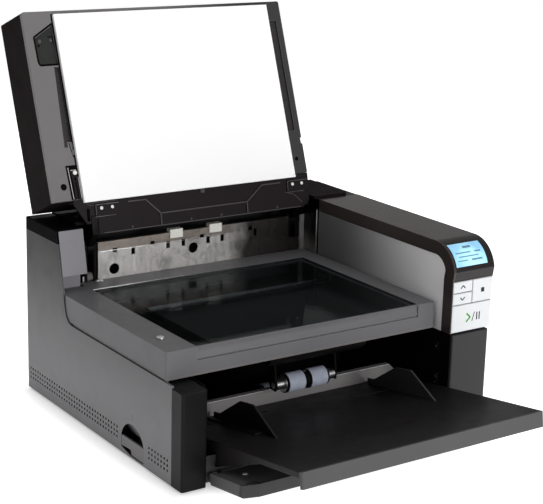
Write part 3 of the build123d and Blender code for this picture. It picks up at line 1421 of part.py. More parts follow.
def hinge_brackets():
    """Cheeks on the chassis beam on both sides of each arm."""
    cheeks = []
    front = plate_front_y + plate_thickness + 0.4
    for x in (arm_left_x, arm_right_x):
        pair = []
        for left in (x - 0.4 - hinge_cheek, x + arm_width + 0.4):
            cheek = side_solid([(front, beam_top_z), (hinge_y + 18, beam_top_z), (hinge_y + 9, hinge_z + 4),
                                (hinge_y + 4, hinge_z + 8), (hinge_y - 4, hinge_z + 8), (front, hinge_z + 4)],
                               left, left + hinge_cheek)
            pair.append(cheek)
        foot = block(x - 0.4 - hinge_cheek, x + arm_width + 0.4 + hinge_cheek, front, hinge_y + 18,
                     beam_top_z, beam_top_z + 2.5)
        bracket = pair[0] + pair[1] + foot
        bracket -= rod_x(x - 10, x + arm_width + 10, hinge_y, hinge_z, hinge_pin_radius)
        bracket -= rod_x(x - 10, x + arm_width + 10, lift_axis_y, lift_axis_z, lift_pin_radius)
        cheeks.append(bracket)
    return Compound(children=cheeks)


def hinge_pins():
    """The steel pins of the lid's hinge and of the flatbed's pivot."""
    reach = 0.4 + hinge_cheek
    pins = [rod_x(x - reach, x + arm_width + reach, hinge_y, hinge_z, hinge_pin_radius)
            for x in (arm_left_x, arm_right_x)]
    pins += [rod_x(x - reach, x + arm_width + reach, lift_axis_y, lift_axis_z, lift_pin_radius)
             for x in (arm_left_x, arm_right_x)]
    return Compound(children=pins)


def rear_beam():
    """The steel beam across the rear on two legs, which carries the plate and the hinge."""
    front = plate_front_y + plate_thickness
    left = bed_shelf_left_x
    right = pod_left_x - 2
    beam = block(left, right, front, beam_rear_y, beam_bottom_z, beam_top_z)
    beam -= block(left + beam_leg, right - beam_leg, front + 2, beam_rear_y - 2, beam_bottom_z - 1,
                  beam_top_z - 2)
    for x in (left, right - beam_leg):
        beam += block(x, x + beam_leg, front, beam_rear_y, floor_top_z, beam_bottom_z)
    return beam


def rear_plate():
    """The bare metal plate behind the glass, with holes, slots, a notch and a flange beside the flatbed."""
    y0 = plate_front_y
    y1 = y0 + plate_thickness
    flange_x = plate_right_x - plate_thickness
    plate = block(plate_left_x, plate_right_x, y0, y1, floor_top_z, plate_top_z)
    plate -= block(arm_right_x - 4, arm_right_x + arm_width + 4, y0 - 1, y1 + 1, bed_bottom_z - 3, 142)
    plate -= block(arm_right_x - 5, arm_right_x + arm_width + 5, y0 - 1, y1 + 1, 164, plate_top_z + 1)
    for x, z in ((plate_hole_left_x, 157.5), (plate_hole_mid_x, 169.4)):
        plate -= rod_y(x, y0 - 1, y1 + 1, z, plate_hole_radius)
    for x, z, width, height in plate_slots():
        plate -= block(x - width / 2, x + width / 2, y0 - 1, y1 + 1, z - height / 2, z + height / 2)
    plate += block(plate_left_x, arm_right_x - 6, y0, y0 + 5, plate_top_z - 1.2, plate_top_z)
    plate += side_solid([(flange_front_y + 2, flange_bottom_z), (y1, flange_bottom_z), (y1, flange_top_z),
                         (flange_front_y + 1.6, flange_top_z), (flange_front_y, flange_bottom_z + 40)],
                        flange_x, plate_right_x)
    return plate


def plate_slots():
    """Centres and sizes of the rectangular slots in the rear plate."""
    return ((-129, 181, 6, 5), (-104, 177, 5, 9), (-77, 183, 6, 5), (-55, 178, 5, 9), (-33, 178, 5, 9),
            (-6, 183, 6, 4), (3, 177, 5, 9), (24, 177, 5, 9), (66, 184, 6, 5), (74, 178, 4, 10))


def plate_tabs():
    """The two white clips on the plate's top edge."""
    tabs = []
    for x in (-44.0, 13.0):
        z1 = plate_top_z + 4
        tab = block(x - 9, x + 9, plate_front_y - 1.6, plate_front_y, plate_top_z - 7, z1)
        tab += block(x - 9, x + 9, plate_front_y - 0.4, plate_front_y + 7, plate_top_z, z1)
        tabs.append(tab)
    return Compound(children=tabs)


def mains_inlet():
    """The mains inlet with three blades in its socket."""
    y1 = case_rear_y
    y0 = y1 - inlet_depth
    body = block(inlet_x - inlet_width / 2, inlet_x + inlet_width / 2, y0, y1, inlet_z - inlet_height / 2,
                 inlet_z + inlet_height / 2)
    body -= block(inlet_x - 11.5, inlet_x + 11.5, y1 - 16, y1 + 1, inlet_z - 7.5, inlet_z + 7.5)
    for x, z in ((-7, -2), (0, 2.5), (7, -2)):
        body += block(inlet_x + x - 1, inlet_x + x + 1, y0 + 3, y1 - 6, inlet_z + z - 2, inlet_z + z + 2)
    stand = block(inlet_x - 8, inlet_x + 8, y0, y0 + 12, floor_top_z, inlet_z - inlet_height / 2)
    return body + stand


def usb_socket():
    """The square data socket on the rear."""
    y1 = case_rear_y
    y0 = y1 - usb_depth
    half = usb_size / 2
    body = block(usb_x - half, usb_x + half, y0, y1, usb_z - half, usb_z + half)
    body -= block(usb_x - 4.4, usb_x + 4.4, y1 - 10, y1 + 1, usb_z - 4.2, usb_z + 4.2)
    body += block(usb_x - 2.6, usb_x + 2.6, y1 - 11, y1 - 5, usb_z - 1.4, usb_z + 1.4)
    return body


def switch_frame():
    """The frame of the power switch, set in the rear wall."""
    y1 = case_rear_y + 1.0
    y0 = case_rear_y - cover_wall - switch_depth
    frame = block(switch_x - switch_width / 2, switch_x + switch_width / 2, y0, case_rear_y,
                  inlet_z - switch_height / 2, inlet_z + switch_height / 2)
    frame += block(switch_x - switch_width / 2 - 1.5, switch_x + switch_width / 2 + 1.5, case_rear_y, y1,
                   inlet_z - switch_height / 2 - 1.5, inlet_z + switch_height / 2 + 1.5)
    hollow = 2.0
    frame -= block(switch_x - switch_width / 2 + hollow, switch_x + switch_width / 2 - hollow, y0 + 2, y1 + 1,
                   inlet_z - switch_height / 2 + hollow, inlet_z + switch_height / 2 - hollow)
    bore = 1.5
    return frame - rod_x(switch_x - switch_width / 2 + 0.6, switch_x + switch_width / 2 - 0.6,
                         case_rear_y - 3, inlet_z,
                         bore)


def power_switch():
    """The rocker of the power switch on its two trunnions."""
    y = case_rear_y - 3
    half_w = switch_width / 2 - 2.3
    half_h = switch_height / 2 - 2.8
    rocker = side_solid([(y - 3, inlet_z - half_h), (y + 4.4, inlet_z - half_h), (y + 2.6, inlet_z),
                         (y + 4.4, inlet_z + half_h), (y - 3, inlet_z + half_h)],
                        switch_x - half_w, switch_x + half_w)
    rounder = rod_x(switch_x - half_w, switch_x + half_w, y, inlet_z, half_h + 0.3)
    trunnion = rod_x(switch_x - half_w - 1.4, switch_x + half_w + 1.4, y, inlet_z, 1.5 - running_clearance)
    return (rocker & rounder) + trunnion


def power_supply():
    """The power supply's box in the rear right of the base."""
    box = block(supply_right_x - supply_width, supply_right_x, supply_front_y, supply_front_y + supply_depth,
                floor_top_z, floor_top_z + supply_height)
    return fillet(box.edges().filter_by(Axis.Z), 2.0)


def main_board():
    """The main circuit board on four posts, with its data socket's edge at the rear."""
    right = usb_x + 8
    left = right - board_width
    front = board_front_y
    top = usb_z - usb_size / 2
    z = top - board_thickness
    board = block(left, right, front, inner_rear_y, z, top)
    for x in (left + 6, right - 6):
        for y in (front + 6, inner_rear_y - 6.5):
            board += rod_z(x, y, floor_top_z, z, 3.0)
    for x, y, w, d in ((40, 26, 24, 24), (80, 16, 14, 10), (12, 36, 12, 16)):
        board += block(left + x, left + x + w, front + y, front + y + d, top - 0.1, top + 2.4)
    return board


def feed_motor():
    """The feed drive's motor on the outside of the bay's left wall."""
    can = rod_x(bay_left_x - motor_length, bay_left_x, motor_y, motor_z, motor_radius)
    return can + block(bay_left_x - 2.0, bay_left_x, motor_y - motor_plate_half, motor_y + motor_plate_half,
                       motor_z - motor_plate_half, motor_z + motor_plate_half)


nodes = {
    "base_pan": base_pan(),
    "rubber_feet": feet(),
    "left_side_cover": left_side_cover(),
    "tower_front_cover": tower_front_cover(),
    "tower_cap": tower_cap(),
    "right_side_cover": right_side_cover(),
    "rear_cover": rear_cover(),
    "top_deck": top_deck(),
    "front_left_pillar": front_left_pillar(),
    "front_right_panel": front_right_panel(),
    "pod_shell": pod_shell(),
    "pod_side_panel": pod_side_panel(),
    "display_bezel": display_bezel(),
    "lcd_window": lcd_window(),
    "button_plate": button_plate(),
    "control_board": control_board(),
    "rear_plate": rear_plate(),
    "plate_tabs": plate_tabs(),
    "rear_beam": rear_beam(),
    "hinge_brackets": hinge_brackets(),
    "hinge_pins": hinge_pins(),
    "feed_bay": feed_bay(),
    "front_fascia": front_fascia(),
    "feed_ramp": feed_ramp(),
    "feed_motor": feed_motor(),
    "power_supply": power_supply(),
    "main_board": main_board(),
    "mains_inlet": mains_inlet(),
    "usb_socket": usb_socket(),
    "switch_frame": switch_frame(),
    "separation_roller": separation_roller(),
    "transport_roller": transport_roller(),
    "release_lever": release_lever(),
    "power_switch": power_switch(),
    "flatbed_frame": flatbed_frame(),
    "flatbed_tub": flatbed_tub(),
    "platen_glass": platen_glass(),
    "lid_bumper": lid_bumper(),
    "feed_housing": feed_housing(),
    "carriage_rails": carriage_rails(),
    "scan_carriage": scan_carriage(),
    "feed_roller": feed_roller_core(),
    "feed_tyres": feed_tyres(),
    "lid_shell": lid_shell(),
    "lid_inner_frame": lid_inner_frame(),
    "lid_pad": lid_pad(),
    "lid_tail": lid_tail(),
    "lid_arms": lid_arms(),
    "arm_screw_plates": arm_screw_plates(),
    "front_flap": front_flap(),
    "flap_liner": flap_liner_plate(),
    "tray_plate": tray_plate(),
    "tray_extender": tray_extender(),
    "left_guide": side_guide(-1),
    "right_guide": side_guide(1),
    "guide_pinion": guide_pinion(),
}
for name, edges in button_boxes().items():
    nodes[name] = button(*edges)

for name, solid in nodes.items():
    export_step(solid, f"parts/{name}.step")
print(len(nodes), "nodes")
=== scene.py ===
"""Looks of a flatbed document scanner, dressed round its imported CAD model.

The frame is that of the CAD model: X to the right, Y to the back, Z up, with
the origin on the table in the middle of the case. Lengths are in metres in the
finishes and the studio, and in millimetres in the pieces.
"""

from __future__ import annotations

import logging
import math
from dataclasses import dataclass
from enum import Enum
from typing import Any, Iterable, Union

import bmesh
import bpy
from mathutils import Matrix, Vector
from mathutils.bvhtree import BVHTree


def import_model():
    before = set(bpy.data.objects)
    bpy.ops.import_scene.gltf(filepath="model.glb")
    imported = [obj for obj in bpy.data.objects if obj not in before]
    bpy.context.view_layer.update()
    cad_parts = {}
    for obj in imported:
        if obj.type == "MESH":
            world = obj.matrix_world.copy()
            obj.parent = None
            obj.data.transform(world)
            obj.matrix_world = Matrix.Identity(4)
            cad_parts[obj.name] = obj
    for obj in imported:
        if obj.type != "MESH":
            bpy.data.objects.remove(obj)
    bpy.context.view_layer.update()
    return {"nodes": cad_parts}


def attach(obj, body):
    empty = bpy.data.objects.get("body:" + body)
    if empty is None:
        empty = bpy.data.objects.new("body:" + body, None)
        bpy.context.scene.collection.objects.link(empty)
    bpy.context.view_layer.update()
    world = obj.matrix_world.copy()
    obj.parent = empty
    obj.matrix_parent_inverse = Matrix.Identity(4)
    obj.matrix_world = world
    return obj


LOG = logging.getLogger("scanner")
MM = 0.001
Spot = tuple[float, float]
Span = tuple[float, float]
Point = tuple[float, float, float]
Tone = tuple[float, float, float]
Colour = tuple[float, float, float, float]


def linear(tone: Tone) -> Colour:
    """Turn a display colour into the linear colour that shaders take.

    Args:
        tone: Red, green and blue as a display shows them, from 0 to 255.

    Returns:
        The linear colour with an alpha of 1.
    """
    parts = [value / 255 for value in tone]
    red, green, blue = (v / 12.92 if v <= 0.04045 else ((v + 0.055) / 1.055) ** 2.4 for v in parts)
    return red, green, blue, 1.0


def toned(colour: Colour, factor: float, lift: float = 0.0) -> Colour:
    """A linear colour multiplied by a factor and then lifted, with an alpha of 1."""
    red, green, blue = (min(1.0, value * factor + lift) for value in colour[:3])
    return red, green, blue, 1.0


def grey(level: float) -> Colour:
    """A linear grey."""
    return level, level, level, 1.0


def stroke(start: Spot, end: Spot, width: float) -> list[Spot]:
    """Work out a straight stroke on a plane.

    Args:
        start: Middle of its first end.
        end: Middle of its last end.
        width: Its width.

    Returns:
        Its four corners in order.
    """
    along = Vector((end[0] - start[0], end[1] - start[1]))
    side = Vector((-along.y, along.x)).normalized() * width / 2
    return [(start[0] + side.x, start[1] + side.y), (end[0] + side.x, end[1] + side.y),
            (end[0] - side.x, end[1] - side.y), (start[0] - side.x, start[1] - side.y)]


def finish_name(name: str) -> str:
    """A finish's material name, kept apart from those of the loaded frame."""
    return f"finish_{name}"


class Wire:
    """A shader socket's output, with arithmetic that adds Math nodes."""

    def __init__(self, shade: "Shade", socket: bpy.types.NodeSocket) -> None:
        """Keep the socket and the material that it belongs to."""
        self.shade = shade
        self.socket = socket

    def _math(self, operation: str, first: "Value", second: "Value") -> "Wire":
        """The result of a new Math node."""
        return self.shade.node("ShaderNodeMath", {"operation": operation}, {0: first, 1: second})

    def __add__(self, other: "Value") -> "Wire":
        """Sum with a value or wire."""
        return self._math("ADD", self, other)

    __radd__ = __add__

    def __sub__(self, other: "Value") -> "Wire":
        """Difference from a value or wire."""
        return self._math("SUBTRACT", self, other)

    def __rsub__(self, other: "Value") -> "Wire":
        """A value less this wire."""
        return self._math("SUBTRACT", other, self)

    def __mul__(self, other: "Value") -> "Wire":
        """Product with a value or wire."""
        return self._math("MULTIPLY", self, other)

    __rmul__ = __mul__

    def size(self) -> "Wire":
        """This wire without its sign."""
        return self._math("ABSOLUTE", self, 0.0)

    def at_least(self, other: "Value") -> "Wire":
        """The larger of this wire and another."""
        return self._math("MAXIMUM", self, other)

    def above(self, edge: "Value") -> "Wire":
        """1 where this wire is above an edge, else 0."""
        return self._math("GREATER_THAN", self, edge)

    def ramp(self, low: float, high: float) -> "Wire":
        """Smooth rise from 0 to 1 between a low and a high value of this wire."""
        settings = {"interpolation_type": "SMOOTHSTEP", "clamp": True}
        return self.shade.node("ShaderNodeMapRange", settings, {0: self, 1: low, 2: high, 3: 0.0, 4: 1.0})


Value = Union[Wire, float]


class Shade:
    """One material under construction."""

    rub_and_highlight_radius: float = 0.0008
    rub_and_highlight_bend: Span = (0.004, 0.16)

    def __init__(self, name: str) -> None:
        """Start a material with an empty node tree.

        Args:
            name: The material's name.
        """
        self.material = bpy.data.materials.new(finish_name(name))
        self.material.use_nodes = True
        self.tree = self.material.node_tree
        self.tree.nodes.clear()
        self._coords: Wire | None = None

    def node(self, kind: str, settings: dict[str, Any] | None = None,
             sockets: dict[Any, Any] | None = None, output: Any = 0) -> Wire:
        """Add any node.

        Args:
            kind: The node's type.
            settings: Its own properties, set first.
            sockets: A value or a wire for each socket, by index or name.
            output: Index or name of the socket to return.

        Returns:
            The chosen output.
        """
        made = self.tree.nodes.new(kind)
        for key, value in (settings or {}).items():
            setattr(made, key, value)
        for key, value in (sockets or {}).items():
            if isinstance(value, Wire):
                self.tree.links.new(value.socket, made.inputs[key])
            else:
                made.inputs[key].default_value = value
        return Wire(self, made.outputs[output])

    def coords(self) -> Wire:
        """Object coordinates, in metres."""
        if self._coords is None:
            self._coords = self.node("ShaderNodeTexCoord", output="Object")
        return self._coords

    def noise(self, scale: float, detail: float = 2.0, stretch: Point | None = None,
              rough: float = 0.5) -> Wire:
        """Noise over the piece.

        Args:
            scale: Cells per metre.
            detail: Octaves.
            stretch: Scale along each axis, if it isn't even.
            rough: Weight of the finer octaves.

        Returns:
            A value near 0.5.
        """
        where = self.coords()
        if stretch:
            where = self.node("ShaderNodeMapping", None, {"Vector": where, "Scale": stretch})
        return self.node("ShaderNodeTexNoise", None,
                         {"Vector": where, "Scale": scale, "Detail": detail, "Roughness": rough})

    def cells(self, scale: float) -> Wire:
        """Cells of random colours over the piece, by their number per metre."""
        return self.node("ShaderNodeTexVoronoi", None, {"Vector": self.coords(), "Scale": scale}, "Color")

    def axis(self, name: str) -> Wire:
        """One coordinate of the piece, in metres, by the letter of its axis."""
        return self.node("ShaderNodeSeparateXYZ", None, {0: self.coords()}, name)

    def mix(self, factor: Value, first: Any, second: Any) -> Wire:
        """Two colours blended, where the factor is the second one's share."""
        return self.node("ShaderNodeMix", {"data_type": "RGBA"}, {0: factor, 6: first, 7: second}, 2)

    def bump(self, height: Wire, strength: float, depth: float, normal: Wire | None = None) -> Wire:
        """A bumped normal.

        Args:
            height: The height pattern.
            strength: How much of it shows.
            depth: The height's real size, in metres.
            normal: The normal to start from.

        Returns:
            The new normal.
        """
        sockets: dict[Any, Any] = {"Height": height, "Strength": strength, "Distance": depth}
        if normal is not None:
            sockets["Normal"] = normal
        return self.node("ShaderNodeBump", None, sockets)

    def soft_edges(self, radius: float) -> Wire:
        """A normal that rounds sharp edges by a radius in metres."""
        return self.node("ShaderNodeBevel", {"samples": 4}, {"Radius": radius})

    def rubbed_and_highlit(self) -> Wire:
        """Find the edges, which are lightened as worn edges and as a painted highlight.

        Returns:
            A value from 0 on flat faces to 1 on an edge.
        """
        flat = self.node("ShaderNodeNewGeometry", output="True Normal")
        level = self.node("ShaderNodeVectorMath", {"operation": "DOT_PRODUCT"},
                          {0: self.soft_edges(self.rub_and_highlight_radius), 1: flat}, "Value")
        return (1 - level).ramp(*self.rub_and_highlight_bend)

    def surface(self, sockets: dict[Any, Any]) -> bpy.types.Material:
        """The material, finished with a Principled BSDF that has these sockets."""
        return self.output(self.node("ShaderNodeBsdfPrincipled", None, sockets))

    def output(self, shader: Wire) -> bpy.types.Material:
        """Finish the material with any shader.

        Args:
            shader: The shader's output.

        Returns:
            The material.
        """
        end = self.tree.nodes.new("ShaderNodeOutputMaterial")
        self.tree.links.new(shader.socket, end.inputs["Surface"])
        return self.material


@dataclass(frozen=True)
class PaintedInsideShade:
    """Painted shade on the inside of a side cover, behind its vents and in its lever pocket."""

    half_width: float
    skin: float = 0.0003
    top: Span = (0.052, 0.055)
    scoop_front: float = -0.112
    scoop: Span = (-0.094, -0.062)
    tone: Tone = (8, 8, 8)

    def paint(self, shade: Shade, tone: Wire) -> Wire:
        """Paint shade on it.

        Args:
            shade: The material.
            tone: Its colour so far.

        Returns:
            The colour with painted shade below the outer face, except on the pocket's scoop.
        """
        inside = 1 - shade.axis("X").size().ramp(self.half_width - self.skin, self.half_width)
        low = 1 - shade.axis("Z").ramp(*self.top)
        along = shade.axis("Y")
        scoop = (1 - along.ramp(*self.scoop)) * along.above(self.scoop_front)
        return shade.mix(inside * low * (1 - scoop), tone, linear(self.tone))


@dataclass(frozen=True)
class MouldedPlastic:
    """Injection moulded plastic with a fine spark grain."""

    name: str
    tone: Tone
    roughness: float = 0.5
    grain: float = 0.25
    grain_scale: float = 1400.0
    mottle: float = 0.10
    edge: float = 0.0006
    shine: float = 0.4
    painted_shading: float = 0.0
    painted_shading_axis: str = "Z"
    painted_shading_over: Span = (0.06, 0.24)
    painted_shading_drift: float = 0.02
    wear_and_highlight: float = 0.5
    ior: float = 1.25
    inside: PaintedInsideShade | None = None

    def build(self) -> bpy.types.Material:
        """Build the material.

        Returns:
            Plastic whose tone drifts slightly, with painted shading along one axis, painted shade inside,
            edges lightened as worn and as painted highlights, and a grain that catches the light.
        """
        shade = Shade(self.name)
        colour = linear(self.tone)
        drift = shade.noise(scale=9.0, detail=3.0)
        speck = shade.noise(self.grain_scale, detail=1.0)
        handling = shade.noise(scale=38.0, detail=4.0, rough=0.7).ramp(low=0.42, high=0.72)
        tone = shade.mix(drift, toned(colour, 1 - self.mottle), toned(colour, 1 + self.mottle * 2))
        # Painted shading: the tone darkens along one axis in place of falling light; a negative strength
        # lightens it instead, as painted light.
        if self.painted_shading:
            place = shade.axis(self.painted_shading_axis) + drift * self.painted_shading_drift
            tone = shade.mix(place.ramp(*self.painted_shading_over), tone, toned(colour, 1 - self.painted_shading))
        # Painted shade inside the vents and the lever pocket.
        if self.inside:
            tone = self.inside.paint(shade, tone)
        # Edges are lightened, partly as wear and partly as a painted highlight.
        if self.edge and self.wear_and_highlight:
            pale = toned(colour, factor=2.2, lift=0.05)
            tone = shade.mix(shade.rubbed_and_highlit() * self.wear_and_highlight, tone, pale)
        rough = handling * 0.10 + speck * 0.05 + (self.roughness - 0.06)
        rounded = shade.soft_edges(self.edge) if self.edge else None
        normal = shade.bump(speck, self.grain, depth=0.0002, normal=rounded)
        return shade.surface({"Base Color": tone, "Roughness": rough, "Normal": normal,
                              "Specular IOR Level": self.shine, "IOR": self.ior})


@dataclass(frozen=True)
class GlossPlastic:
    """Glossy black plastic with faint smudges in its shine."""

    name: str
    tone: Tone
    roughness: float = 0.16
    ior: float = 1.38

    def build(self) -> bpy.types.Material:
        """Build the material.

        Returns:
            Plastic with a clear shine and handling marks.
        """
        shade = Shade(self.name)
        colour = linear(self.tone)
        smudge = shade.noise(scale=26.0, detail=5.0, rough=0.65).ramp(low=0.48, high=0.75)
        dust = shade.noise(scale=420.0).ramp(low=0.62, high=0.8)
        dusty = toned(colour, factor=1.25)
        return shade.surface({"Base Color": shade.mix(dust * 0.6, colour, dusty),
                              "Roughness": smudge * 0.12 + self.roughness, "IOR": self.ior,
                              "Normal": shade.soft_edges(radius=0.0008)})


@dataclass(frozen=True)
class PlateStainsAndPaintedLight:
    """The rear plate's blots and brown top band, with a painted dark reflection and painted shade on its
    right flange.
    """

    reflection_left: Span = (0.062, 0.100)
    reflection_right: Span = (0.150, 0.156)
    flange_left: Span = (0.1500, 0.1508)
    flange_top: Span = (0.165, 0.195)
    flange_least: float = 0.35
    band_base: Span = (0.1815, 0.1835)
    band_right: Span = (0.030, 0.060)
    blot_tone: Tone = (96, 92, 90)
    band_tone: Tone = (128, 117, 108)
    reflection_tone: Tone = (30, 25, 23)
    flange_shade_tone: Tone = (26, 23, 22)

    def paint(self, shade: Shade, tone: Wire) -> Wire:
        """Add them.

        Args:
            shade: The material.
            tone: Its colour so far.

        Returns:
            The colour with blots, the band, a painted dark reflection and painted shade on the flange.
        """
        across = shade.axis("X")
        height = shade.axis("Z")
        wander = shade.noise(scale=22.0, detail=4.0) * 0.06
        # Painted reflection: a dark stretch across the plate.
        dark = ((across + wander).ramp(*self.reflection_left)
                * (1 - (across + wander * 0.3).ramp(*self.reflection_right)))
        # Painted shade on the right flange, deepest at its top.
        lit = self.flange_least + (1 - self.flange_least) * (height + wander * 0.5).ramp(*self.flange_top)
        flange = across.ramp(*self.flange_left) * lit
        blot = shade.noise(scale=45.0, detail=4.0, stretch=(1, 1, 0.6)).ramp(low=0.52, high=0.66)
        band = (height + wander * 0.02).ramp(*self.band_base) * (1 - across.ramp(*self.band_right))
        for share, colour in ((blot * 0.35, self.blot_tone), (band * 0.85, self.band_tone),
                              (dark * 0.95, self.reflection_tone), (flange, self.flange_shade_tone)):
            tone = shade.mix(share, tone, linear(colour))
        return tone


@dataclass(frozen=True)
class SheetSteel:
    """Galvanised or rolled sheet steel."""

    name: str
    tone: Tone = (176, 174, 172)
    roughness: float = 0.30
    spangle: float = 150.0
    stains_and_painted_light: PlateStainsAndPaintedLight | None = None

    def build(self) -> bpy.types.Material:
        """Build the material.

        Returns:
            Steel with spangle, rolling marks and any stain marks, painted reflection and painted shade.
        """
        shade = Shade(self.name)
        bright = linear(self.tone)
        dull = toned(bright, factor=0.62)
        spangle = shade.node("ShaderNodeSeparateColor", None, {0: shade.cells(self.spangle)}, "Red")
        rolled = shade.noise(scale=240.0, detail=3.0, stretch=(1.0, 1.0, 0.06))
        tone = shade.mix(spangle * 0.5 + rolled * 0.35, bright, dull)
        rough = spangle * 0.12 + rolled * 0.14 + (self.roughness - 0.06)
        if self.stains_and_painted_light:
            tone = self.stains_and_painted_light.paint(shade, tone)
        normal = shade.bump(rolled + spangle * 0.3, strength=0.25, depth=0.0003,
                            normal=shade.soft_edges(radius=0.0004))
        return shade.surface({"Base Color": tone, "Metallic": 0.85, "Roughness": rough, "Normal": normal})


@dataclass(frozen=True)
class TurnedSteel:
    """Turned or drawn bright steel."""

    name: str
    tone: Tone = (200, 200, 202)
    roughness: float = 0.20

    def build(self) -> bpy.types.Material:
        """Build the material.

        Returns:
            Bright steel with fine rings along X.
        """
        shade = Shade(self.name)
        bright = linear(self.tone)
        dull = toned(bright, factor=0.7)
        rings = shade.noise(scale=2600.0, stretch=(1.0, 0.02, 0.02))
        normal = shade.bump(rings, strength=0.15, depth=0.0001, normal=shade.soft_edges(radius=0.0003))
        return shade.surface({"Base Color": shade.mix(rings * 0.5, bright, dull), "Metallic": 1.0,
                              "Roughness": rings * 0.2 + self.roughness, "Normal": normal})


@dataclass(frozen=True)
class Rubber:
    """Ground rubber."""

    name: str
    tone: Tone
    roughness: float = 0.72

    def build(self) -> bpy.types.Material:
        """Build the material.

        Returns:
            Rubber with a ground surface and paper dust.
        """
        shade = Shade(self.name)
        colour = linear(self.tone)
        pale = toned(colour, factor=1.7, lift=0.01)
        ground = shade.noise(scale=1500.0, stretch=(0.2, 1.0, 1.0))
        dust = shade.noise(scale=160.0, detail=4.0, rough=0.7).ramp(low=0.45, high=0.8)
        normal = shade.bump(ground, strength=0.4, depth=0.0002, normal=shade.soft_edges(radius=0.0006))
        return shade.surface({"Base Color": shade.mix(dust * 0.6, colour, pale),
                              "Roughness": dust * 0.15 + self.roughness, "Normal": normal})


@dataclass(frozen=True)
class FloatGlass:
    """Clear float glass that mirrors what stands behind it."""

    name: str
    tint: Tone = (214, 218, 219)
    body: Colour = (0.01, 0.011, 0.012, 1.0)
    ior: float = 1.62
    mirrored: float = 0.42
    least_mirrored: float = 0.01

    def build(self) -> bpy.types.Material:
        """Build the material.

        Returns:
            See-through glass whose shine grows towards grazing angles.
        """
        shade = Shade(self.name)
        clear = shade.node("ShaderNodeBsdfTransparent", None, {"Color": linear(self.tint)})
        smear = shade.noise(scale=18.0, detail=4.0, rough=0.6).ramp(low=0.45, high=0.8)
        mirror = shade.node("ShaderNodeBsdfPrincipled", None,
                            {"Base Color": self.body, "Roughness": smear * 0.05 + 0.03,
                             "Specular IOR Level": 1.0})
        shine = shade.node("ShaderNodeFresnel", None, {"IOR": self.ior})
        share = shine * self.mirrored + self.least_mirrored
        return shade.output(shade.node("ShaderNodeMixShader", None, {0: share, 1: clear, 2: mirror}))


@dataclass(frozen=True)
class LitDisplay:
    """A backlit display."""

    name: str
    tone: Tone = (162, 210, 230)
    deep_tone: Tone = (96, 150, 190)
    glow: float = 0.62

    def build(self) -> bpy.types.Material:
        """Build the material.

        Returns:
            A blue display whose light is a little uneven.
        """
        shade = Shade(self.name)
        drift = shade.noise(scale=30.0).ramp(low=0.3, high=0.7)
        tone = shade.mix(drift * 0.7, linear(self.tone), linear(self.deep_tone))
        return shade.surface({"Base Color": tone, "Emission Color": tone, "Emission Strength": self.glow,
                              "Roughness": 0.12})


@dataclass(frozen=True)
class FloorPaint:
    """The studio's pale sweep, which glows as a light of its own."""

    name: str = "studio_sweep"
    tone: Tone = (250, 250, 250)
    glow: float = 0.85
    half_width: float = 0.210
    half_depth: float = 0.172
    shadow: float = 0.45
    shadow_edge: Span = (-0.004, 0.045)
    far: Span = (0.30, 1.0)
    far_level: float = 0.85

    def build(self) -> bpy.types.Material:
        """Build the material.

        Returns:
            A pale floor that glows, with a painted pool of light round the machine, a painted shadow under
            it and less glow far away.
        """
        shade = Shade(self.name)
        reach = shade.node("ShaderNodeVectorMath", {"operation": "LENGTH"}, {0: shade.coords()}, "Value")
        # Painted pool of light: the floor glows most within reach of the machine.
        glow = shade.mix(reach.ramp(*self.far), grey(1.0), grey(self.far_level))
        # Painted shadow: the glow drops under the machine and just beside it.
        beside_x = shade.axis("X").size() - self.half_width
        beside_y = shade.axis("Y").size() - self.half_depth
        glow = shade.mix(beside_x.at_least(beside_y).ramp(*self.shadow_edge), grey(self.shadow), glow)
        return shade.surface({"Base Color": linear(self.tone), "Roughness": 0.9, "Emission Color": glow,
                              "Emission Strength": self.glow, "Specular IOR Level": 0.0})


